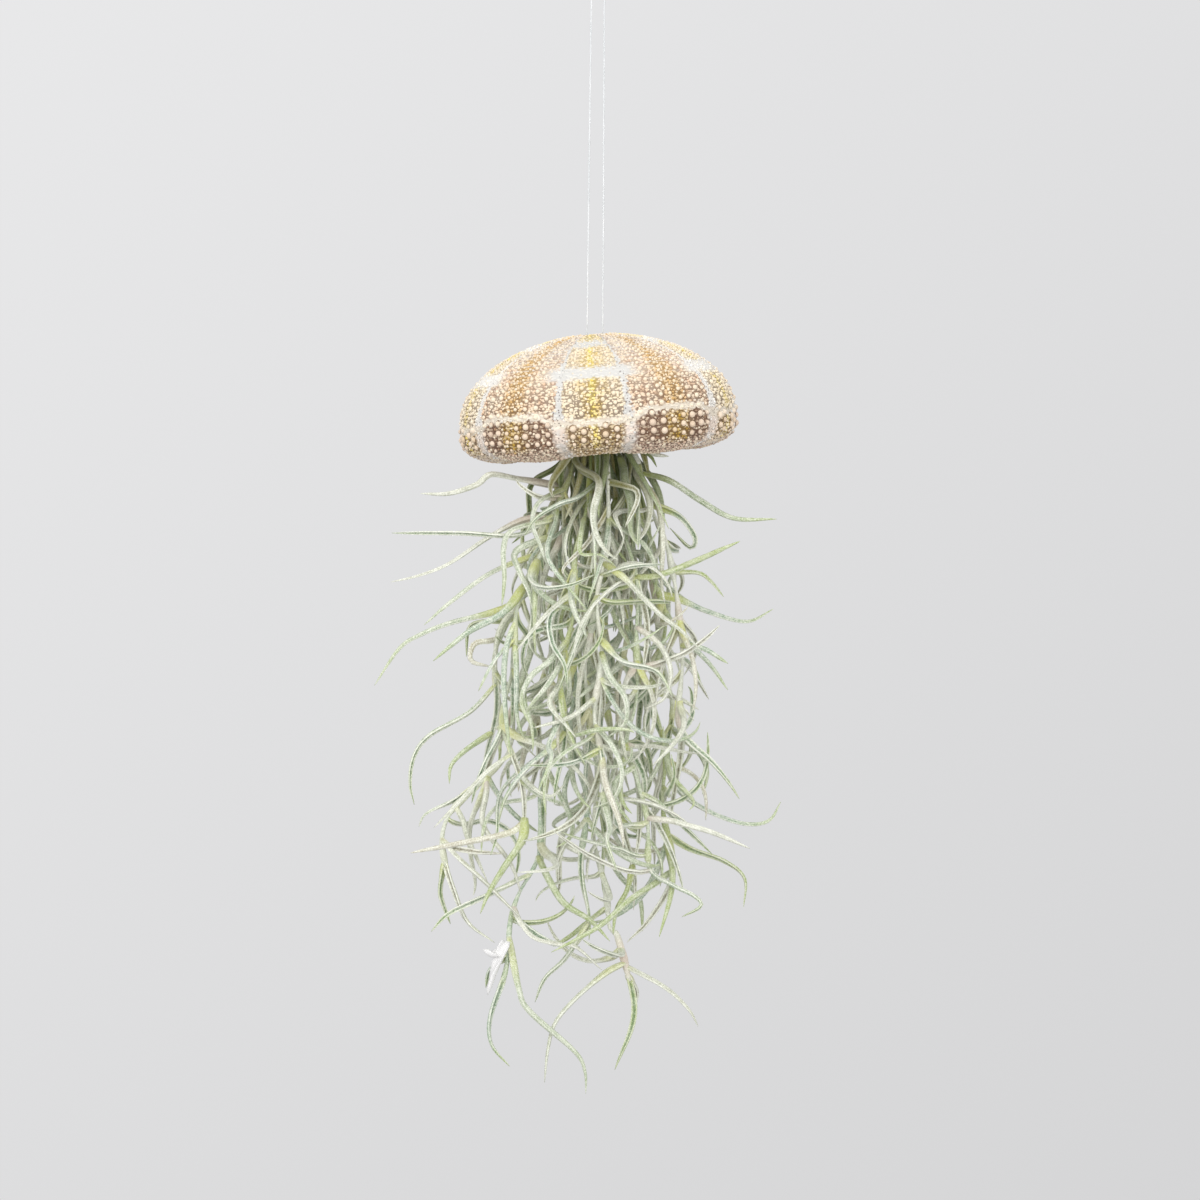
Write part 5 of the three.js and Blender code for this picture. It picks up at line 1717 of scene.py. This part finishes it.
def scurfy_leaf():
    material, tree, shader = new_finish("scurfy_leaf")
    specks = speckle(tree, 0.42, 0.14)
    tone, groove, margin = fact(tree, "tone"), fact(tree, "groove"), fact(tree, "margin")
    along, sheath = fact(tree, "along"), fact(tree, "sheath")
    axes = put(tree, "SeparateXYZ", {0: place_on_object(tree)}).outputs
    squares = [maths(tree, "POWER", axes[k], 2.0) for k in (0, 1)]
    radial = maths(tree, "SQRT", maths(tree, "ADD", *squares))

    def deep_inside(heights, radii):
        high = step_between(tree, axes[2], *heights)
        return both(tree, high, step_between(tree, radial, *radii))

    # Painted shade: leaves deep in the bunch just below the shell and round the mouth are painted a
    # deeper green, with less frost and less yellow. Weathered grey leaves keep their own colour.
    shaded = deep_inside(SHADE_HEIGHTS, SHADE_RADII)
    near_mouth = both(tree, deep_inside(MOUTH_HEIGHTS, MOUTH_RADII), 0.85)
    weathered = step_between(tree, tone, *WEATHERED_TONES)
    shaded = both(tree, either(tree, shaded, near_mouth), less(tree, weathered))
    unshaded = less(tree, shaded, 0.8)

    colour = mixed(tree, tone, LEAF_GREEN, LEAF_GREY)
    for tones, paint in ((TEAL_TONES, LEAF_TEAL), (BUFF_TONES, LEAF_BUFF)):
        colour = mixed(tree, both(tree, band(tree, tone, *tones), 0.8), colour, paint)
    bright = both(tree, step_between(tree, tone, *BRIGHT_TONES), 0.85)
    colour = mixed(tree, bright, colour, BRIGHT_GREEN)
    young = step_between(tree, tone, *YOUNG_TONES)
    young_tip = both(tree, step_between(tree, along, 0.55, 0.95), young, 0.8)
    colour = mixed(tree, young_tip, colour, TIP_GREEN)
    line = mixed(tree, step_between(tree, tone, *BROWN_GROOVE_TONES), GROOVE_GREEN, GROOVE_BROWN)
    colour = mixed(tree, both(tree, groove, 0.9), colour, line)
    # The painted shade's colour.
    painted_shade = mixed(tree, step_between(tree, tone, *SHADE_OLIVE_TONES), SHADE_GREEN, SHADE_OLIVE)
    colour = mixed(tree, both(tree, shaded, 0.9), colour, painted_shade)

    frost = scaled(tree, specks["Fine"], 0.5, both(tree, margin, 0.56))
    frost = scaled(tree, specks["Coarse"], 0.26, frost)
    frost = scaled(tree, tone, 0.12, frost)
    frost = scaled(tree, groove, -0.3, frost, clamp=True)
    # Painted shade: the lowest leaves get up to a fifth less frost, so they are darker.
    low = step_between(tree, axes[2], -0.3, -0.35)
    frost = both(tree, frost, unshaded, less(tree, low, 0.2))
    frost = both(tree, frost, less(tree, either(tree, young_tip, bright), 0.35))
    colour = mixed(tree, frost, colour, FROST)

    off_stem = step_between(tree, along, 0.0001, 0.002)
    foot = both(tree, step_between(tree, along, 0.16, 0.0), off_stem, 0.65)
    yellow = either(tree, foot, both(tree, sheath, 0.8))
    not_pink = step_between(tree, tone, *NOT_PINK_TONES)
    plain_low = both(tree, step_between(tree, axes[2], -0.24, -0.29), not_pink)
    yellow = both(tree, yellow, less(tree, specks["Fine"], 0.4), less(tree, plain_low, 0.5))
    # Painted shade also halves the sheaths' yellow there.
    yellow = both(tree, yellow, less(tree, shaded, 0.5))
    base = mixed(tree, step_between(tree, tone, *BUFF_NODE_TONES), SHEATH_YELLOW, NODE_BUFF)
    colour = mixed(tree, yellow, colour, base)
    colour = mixed(tree, step_between(tree, tone, *PAPER_TONES), colour, PAPER_WHITE)

    height = scaled(tree, specks["Fine"], 0.8, both(tree, specks["Coarse"], 0.4))
    feed(tree, shader, {
        "Base Color": colour,
        "Normal": bumped(tree, height, 0.5, LEAF_BUMP),
        "Roughness": scaled(tree, frost, 0.25, 0.55),
        "Specular IOR Level": 0.35,
        "Sheen Weight": 0.3,
        "Sheen Roughness": 0.5,
    })
    return material


leaf_finish = scurfy_leaf()
for piece in [*strands, crown]:
    dress(piece, leaf_finish)
print("nodes in the leaves' finish:", len(leaf_finish.node_tree.nodes))

# %% [markdown]
# The shell's plaid comes from its panels. White bands cross it at two heights, and a third crosses
# only the narrow panels near the top. The rows of pores between the panels are white above the
# lower band and pinkish beige below it. The upper band fades out in the wide panels, and the lower
# one climbs there. Each wide panel has an orange-brown stripe down its middle that turns to olive
# below, and each narrow panel a thin yellow line.

# %% The plaid
WHITE = rgb(216, 215, 211)
# Painted light: a paler white and cream for the panels away from the front, standing in for light
# that wraps round the shell's sides.
SIDE_LIT_WHITE = rgb(242, 239, 232)
CREAM = rgb(232, 215, 182)
BLOTCH_CREAM = rgb(242, 228, 204)
SIDE_LIT_CREAM = rgb(242, 232, 208)
ORANGE_BROWN = rgb(216, 174, 98)
PINK_BROWN = rgb(226, 194, 164)
TOP_PINK = rgb(222, 204, 188)
PURPLE_BROWN = rgb(156, 124, 98)
STRAW = rgb(228, 200, 120)
TOP_YELLOW = rgb(232, 212, 154)
OLIVE_BROWN = rgb(182, 154, 98)
OLIVE_YELLOW = rgb(198, 162, 54)
YELLOW_LINE = rgb(248, 226, 112)
PORE_BEIGE = rgb(238, 222, 208)
RIM_BEIGE = rgb(216, 188, 168)
RIM_OLIVE = rgb(190, 162, 116)
RIM_PALE = rgb(226, 208, 192)
LOWER_WHITE = rgb(236, 226, 208)
TOP_BAND_AT = 37.6
WAVER_SCALE = 260.0
RAGGED_SCALE = 950.0
BLOTCH_SCALE = 330.0


def make_panels():
    """The shell's colour, its share of white, and where its pores are."""
    kinds = {"Colour": "NodeSocketColor", "White": "NodeSocketFloat", "Pores": "NodeSocketFloat"}
    group, _, result = new_group("panels", [], kinds.items())
    angle = both(group, fact(group, "fold"), float(HALF_SECTOR_DEGREES))
    waver = maths(group, "SUBTRACT", noise(group, WAVER_SCALE, 2.0), 0.5)
    waver = maths(group, "SUBTRACT", waver, 0.8)
    ragged = scaled(group, noise(group, RAGGED_SCALE, 1.0), 1.6, waver)
    angle = scaled(group, ragged, 2.2, angle)
    height = scaled(group, ragged, 1.8, fact(group, "height"))
    in_wide = step_between(group, angle, PORE_ROW_DEGREES - 0.5, PORE_ROW_DEGREES + 0.5)
    front = fact(group, "front")
    # Painted light: the white is paler on the panels away from the front.
    white_with_painted_light = mixed(group, front, SIDE_LIT_WHITE, WHITE)
    climb = step_between(group, angle, *CLIMB_DEGREES)
    climb = scaled(group, climb, LOWER_BAND_CLIMB, LOWER_BAND_AT)
    lower_off = maths(group, "SUBTRACT", height, climb)
    above = step_between(group, lower_off, -0.5, 0.5)

    blotch = step_between(group, noise(group, BLOTCH_SCALE, 1.0), 0.42, 0.62)
    blotch = both(group, blotch, 0.6)
    stripe = both(group, band(group, angle, HALF_SECTOR_DEGREES, 5.5, 3.5), 0.85)
    wide_high = mixed(group, step_between(group, height, 28, 37), PINK_BROWN, TOP_PINK)
    wide_high = mixed(group, blotch, wide_high, BLOTCH_CREAM)
    wide_high = mixed(group, stripe, wide_high, ORANGE_BROWN)
    wide = mixed(group, above, mixed(group, stripe, PURPLE_BROWN, OLIVE_YELLOW), wide_high)
    narrow_high = mixed(group, band(group, angle, 0, 5, 4), CREAM, STRAW)
    narrow_high = mixed(group, blotch, narrow_high, BLOTCH_CREAM)
    at_top = step_between(group, height, TOP_BAND_AT, TOP_BAND_AT + 1)
    narrow_high = mixed(group, at_top, narrow_high, TOP_YELLOW)
    # Painted light: the narrow panels away from the front are paler.
    narrow_high = mixed(group, scaled(group, front, -0.4, 0.4), narrow_high, SIDE_LIT_CREAM)
    narrow = mixed(group, above, OLIVE_BROWN, narrow_high)
    middle_line = both(group, band(group, angle, 0, 1.5, 0.8), 0.8)
    narrow = mixed(group, middle_line, narrow, YELLOW_LINE)
    colour = mixed(group, in_wide, narrow, wide)
    # The rims: beige under the wide panels; under the narrow ones olive in front and paler
    # elsewhere, partly the shell's own colour and partly painted light away from the front.
    rim = mixed(group, in_wide, mixed(group, front, RIM_PALE, RIM_OLIVE), RIM_BEIGE)
    colour = mixed(group, step_between(group, height, 5.6, 2.4), colour, rim)

    widening = both(group, step_between(group, lower_off, 6, 0), PORE_ROW_WIDENING)
    beside = maths(group, "ABSOLUTE", maths(group, "SUBTRACT", angle, PORE_ROW_DEGREES))
    beside = maths(group, "SUBTRACT", beside, widening)
    narrowing = step_between(group, height, UPPER_BAND_AT, TOP_BAND_AT)
    beside = scaled(group, narrowing, 0.5, beside)
    fuzzy = scaled(group, step_between(group, lower_off, 2, -2), 1.2, 0.5)
    change = FRONT_PORE_ROW_HALF - OTHER_PORE_ROW_HALF
    half = scaled(group, front, change, OTHER_PORE_ROW_HALF)
    beside = maths(group, "DIVIDE", maths(group, "SUBTRACT", beside, half), fuzzy)
    pores = step_between(group, beside, 1, -1)
    upper = band(group, height, UPPER_BAND_AT, UPPER_BAND_HALF, 0.8)
    upper = both(group, upper, step_between(group, angle, 27, 17))
    top = both(group, band(group, height, TOP_BAND_AT, 1.0, 0.6), less(group, in_wide))
    lower = band(group, lower_off, 0, LOWER_BAND_HALF, 0.7)
    seams = band(group, maths(group, "FRACT", fact(group, "row")), 0.5, 0.13, 0.07)
    dashes = both(group, seams, in_wide, above, step_between(group, height, 18, 36), 0.7)
    white = either(group, pores, upper, top, lower, dashes)
    low_paint = mixed(group, lower, mixed(group, blotch, PORE_BEIGE, white_with_painted_light), LOWER_WHITE)
    paint = mixed(group, step_between(group, lower_off, 1.2, 2.2), low_paint, white_with_painted_light)
    colour = mixed(group, white, colour, paint)
    feed(group, result, {"Colour": colour, "White": white, "Pores": pores})
    return group


panels = make_panels()
print("nodes in the plaid:", len(panels.nodes))

# %% [markdown]
# The wall's ground between the knobs is granular too: tiny pale cells with darker lines between
# them, drawn out a little round the shell. The pores are pairs of fine dark holes in their rows.

# %% The shell's finishes
INSIDE_CREAM = rgb(238, 228, 214)
PEARL_HIGH = rgb(236, 222, 198)
PEARL_LOW = rgb(236, 216, 194)
KNOB_RING = rgb(86, 58, 42)
GRANULE_PINK = rgb(236, 222, 198)
PORE_DARK = rgb(84, 60, 52)
PORE_PITCH = 1.0
CELL = 0.85
CELL_RELIEF = 0.0002
FADED_AT_TOP = 0.43


def shell_finish(name):
    material, tree, shader = new_finish(name)
    feed(tree, shader, {"Roughness": 0.6, "Specular IOR Level": 0.4})
    return material, tree, shader, put(tree, "Group", node_tree=panels).outputs


def faded(tree, share):
    """A share of dark that lessens towards the top, where the shell is paler and finer."""
    high = step_between(tree, fact(tree, "height"), 14, 34)
    return scaled(tree, high, -FADED_AT_TOP * share, share)


def wall_finish():
    material, tree, shader, plaid = shell_finish("chalky_shell")
    spread = put(tree, "Attribute", attribute_name="spread").outputs["Vector"]
    cells = put(tree, "TexVoronoi", {"Vector": spread, "Scale": 1 / CELL}).outputs["Distance"]
    raised = step_between(tree, cells, 0.56, 0.34)
    inputs = {"Vector": place_on_object(tree), "Scale": 1000 / PORE_PITCH, "Randomness": 0.7}
    holes = put(tree, "TexVoronoi", inputs).outputs["Distance"]
    pores = both(tree, step_between(tree, holes, 0.3, 0.18), plaid["Pores"], 0.75)
    lines = mixed(tree, faded(tree, 0.78), plaid["Colour"], KNOB_RING)
    tops = mixed(tree, 0.4, plaid["Colour"], GRANULE_PINK)
    ground = mixed(tree, raised, lines, tops)
    ground = mixed(tree, both(tree, plaid["White"], 0.75), ground, plaid["Colour"])
    colour = mixed(tree, pores, ground, PORE_DARK)
    colour = mixed(tree, fact(tree, "outside"), INSIDE_CREAM, colour)
    height = maths(tree, "SUBTRACT", raised, both(tree, pores, 3.0))
    feed(tree, shader, {"Base Color": colour, "Normal": bumped(tree, height, 0.6, CELL_RELIEF)})
    return material


def knob_finish():
    material, tree, shader, plaid = shell_finish("pearly_knobs")
    pearl, draw = fact(tree, "pearl"), fact(tree, "draw")
    ring = mixed(tree, faded(tree, 0.75), plaid["Colour"], KNOB_RING)
    ring = mixed(tree, plaid["White"], ring, plaid["Colour"])
    pearly = mixed(tree, step_between(tree, fact(tree, "height"), 11, 15), PEARL_LOW, PEARL_HIGH)
    ball = mixed(tree, scaled(tree, draw, 0.35, 0.05), pearly, plaid["Colour"])
    colour = mixed(tree, step_between(tree, pearl, 0.15, 0.8), ring, ball)
    feed(tree, shader, {"Base Color": colour, "Roughness": scaled(tree, pearl, -0.25, 0.62)})
    return material


def granule_finish():
    material, tree, shader, plaid = shell_finish("pale_granules")
    pale = mixed(tree, plaid["White"], GRANULE_PINK, WHITE)
    draw = fact(tree, "draw")
    colour = mixed(tree, step_between(tree, draw, 0.25, 0.95), plaid["Colour"], pale)
    dusky = both(tree, step_between(tree, draw, 0.3, 0.0), less(tree, plaid["White"]))
    dusky = both(tree, dusky, faded(tree, 0.45))
    feed(tree, shader, {"Base Color": mixed(tree, dusky, colour, KNOB_RING)})
    return material


dress(shell_wall, wall_finish())
dress(shell_knobs, knob_finish())
dress(shell_granules, granule_finish())

# %% [markdown]
# Clear nylon this thin shows as a bright thread. Its brightness is a painted highlight: a
# near-white, milky colour on the clear line, under a soft shine.

# %% The line's finish
# The painted highlight: near-white colours for the clear line.
NYLON_GREY = rgb(226, 229, 230)
NYLON_WHITE = rgb(240, 241, 242)


def nylon():
    material, tree, shader = new_finish("clear_nylon")
    milky = speckle(tree, 1.5, 0.2)["Coarse"]
    feed(tree, shader, {
        "Base Color": mixed(tree, milky, NYLON_GREY, NYLON_WHITE),
        "Roughness": scaled(tree, milky, 0.1, 0.25),
        "Transmission Weight": 0.25,
        "IOR": 1.53,
    })
    return material


line_finish = nylon()
for piece in (hanging_line, loop_knot, tie_turns):
    dress(piece, line_finish)


# %% [markdown]
# ## The studio
# The ornament hangs in front of a pale, even backdrop. A round bowl stands for it, so every side
# shows the same: a floor far below, a wide sweep and an upright wall. It glows a little less on the
# object than in the picture, so that the soft lamps can model the leaves.

# %% Backdrop
BOWL_RADIUS = 5.0
BOWL_SWEEP = 2.0
BOWL_FLOOR = -2.2
BOWL_TOP = 4.0
BOWL_STEPS = 64
BOWL_SWEEP_STEPS = 8
BOWL_SAME_PLACE = 0.0001
BACKDROP_PALE = rgb(237, 237, 238)
BACKDROP_GREY = rgb(208, 208, 209)
BOWL_GLOW = 0.95
GREY_ACROSS, GREY_UP = 0.4, -0.55
GREY_SPAN = (-1.6, 1.8)


def bowl():
    flat = BOWL_RADIUS - BOWL_SWEEP
    corners = [(0.0, BOWL_FLOOR), (flat, BOWL_FLOOR)]
    for a in np.linspace(0, math.pi / 2, BOWL_SWEEP_STEPS + 1)[1:]:
        across, up = BOWL_SWEEP * math.sin(a), BOWL_SWEEP * (1 - math.cos(a))
        corners.append((flat + across, BOWL_FLOOR + up))
    corners.append((BOWL_RADIUS, BOWL_TOP))
    bpy.ops.object.select_all(action="DESELECT")
    bpy.ops.mesh.primitive_circle_add(vertices=len(corners), radius=1)
    thing = bpy.context.object
    thing.name = "backdrop"
    mesh = thing.data
    for vertex, (r, z) in zip(mesh.vertices, corners):
        vertex.co = (r, 0, z)
    bpy.ops.object.mode_set(mode="EDIT")
    bpy.ops.mesh.select_all(action="DESELECT")
    bpy.ops.object.mode_set(mode="OBJECT")
    for edge in mesh.edges:
        edge.select = set(edge.vertices) == {0, len(corners) - 1}
    bpy.ops.object.mode_set(mode="EDIT")
    bpy.ops.mesh.delete(type="EDGE")
    bpy.ops.object.mode_set(mode="OBJECT")
    spin_round(BOWL_STEPS, BOWL_SAME_PLACE, inside=True)
    bpy.ops.object.shade_smooth()
    return thing


def backdrop_finish():
    material, tree, shader = new_finish("pale_backdrop")
    tree.nodes.remove(shader)
    axes = put(tree, "SeparateXYZ", {0: place_on_object(tree)}).outputs
    slope = scaled(tree, axes[2], GREY_UP, both(tree, axes[0], GREY_ACROSS))
    colour = mixed(tree, step_between(tree, slope, *GREY_SPAN), BACKDROP_PALE, BACKDROP_GREY)
    seen = put(tree, "LightPath").outputs["Is Camera Ray"]
    strength = scaled(tree, seen, 1 - BOWL_GLOW, BOWL_GLOW)
    glow = put(tree, "Emission", {"Color": colour, "Strength": strength})
    feed(tree, tree.nodes["Material Output"], {"Surface": glow.outputs[0]})
    return material


backdrop = bowl()
dress(backdrop, backdrop_finish())
print("faces in the backdrop:", len(backdrop.data.polygons))

# %% [markdown]
# Three wide, soft lamps are enough: one from the upper left for shape, one from the front so that
# the moss doesn't go dark under the shell, and one from above for the dome. The backdrop's own glow
# fills in the rest.

# %% Lamps and view
LAMPS = [
    ("key_lamp", (-0.9, -1.2, 0.9), 0.9, 12),
    ("front_lamp", (0.5, -1.6, -0.1), 1.3, 15),
    ("top_lamp", (0.1, 0.3, 1.4), 1.2, 4),
]


def soft_lamp(name, place, size, power):
    bpy.ops.object.light_add(type="AREA", location=place)
    lamp = bpy.context.object
    lamp.name = name
    lamp.data.size = size
    lamp.data.energy = power
    lamp.rotation_euler = (VIEW_CENTRE - Vector(place)).to_track_quat("-Z", "Y").to_euler()
    lamp.visible_camera = False


for lamp in LAMPS:
    soft_lamp(*lamp)
print("lamps:", len(LAMPS))

world = bpy.data.worlds.new("studio")
world.use_nodes = True
surroundings = world.node_tree.nodes["Background"]
feed(world.node_tree, surroundings, {"Color": BACKDROP_PALE, "Strength": BOWL_GLOW})
bpy.context.scene.world = world
bpy.context.scene.view_settings.view_transform = "Standard"
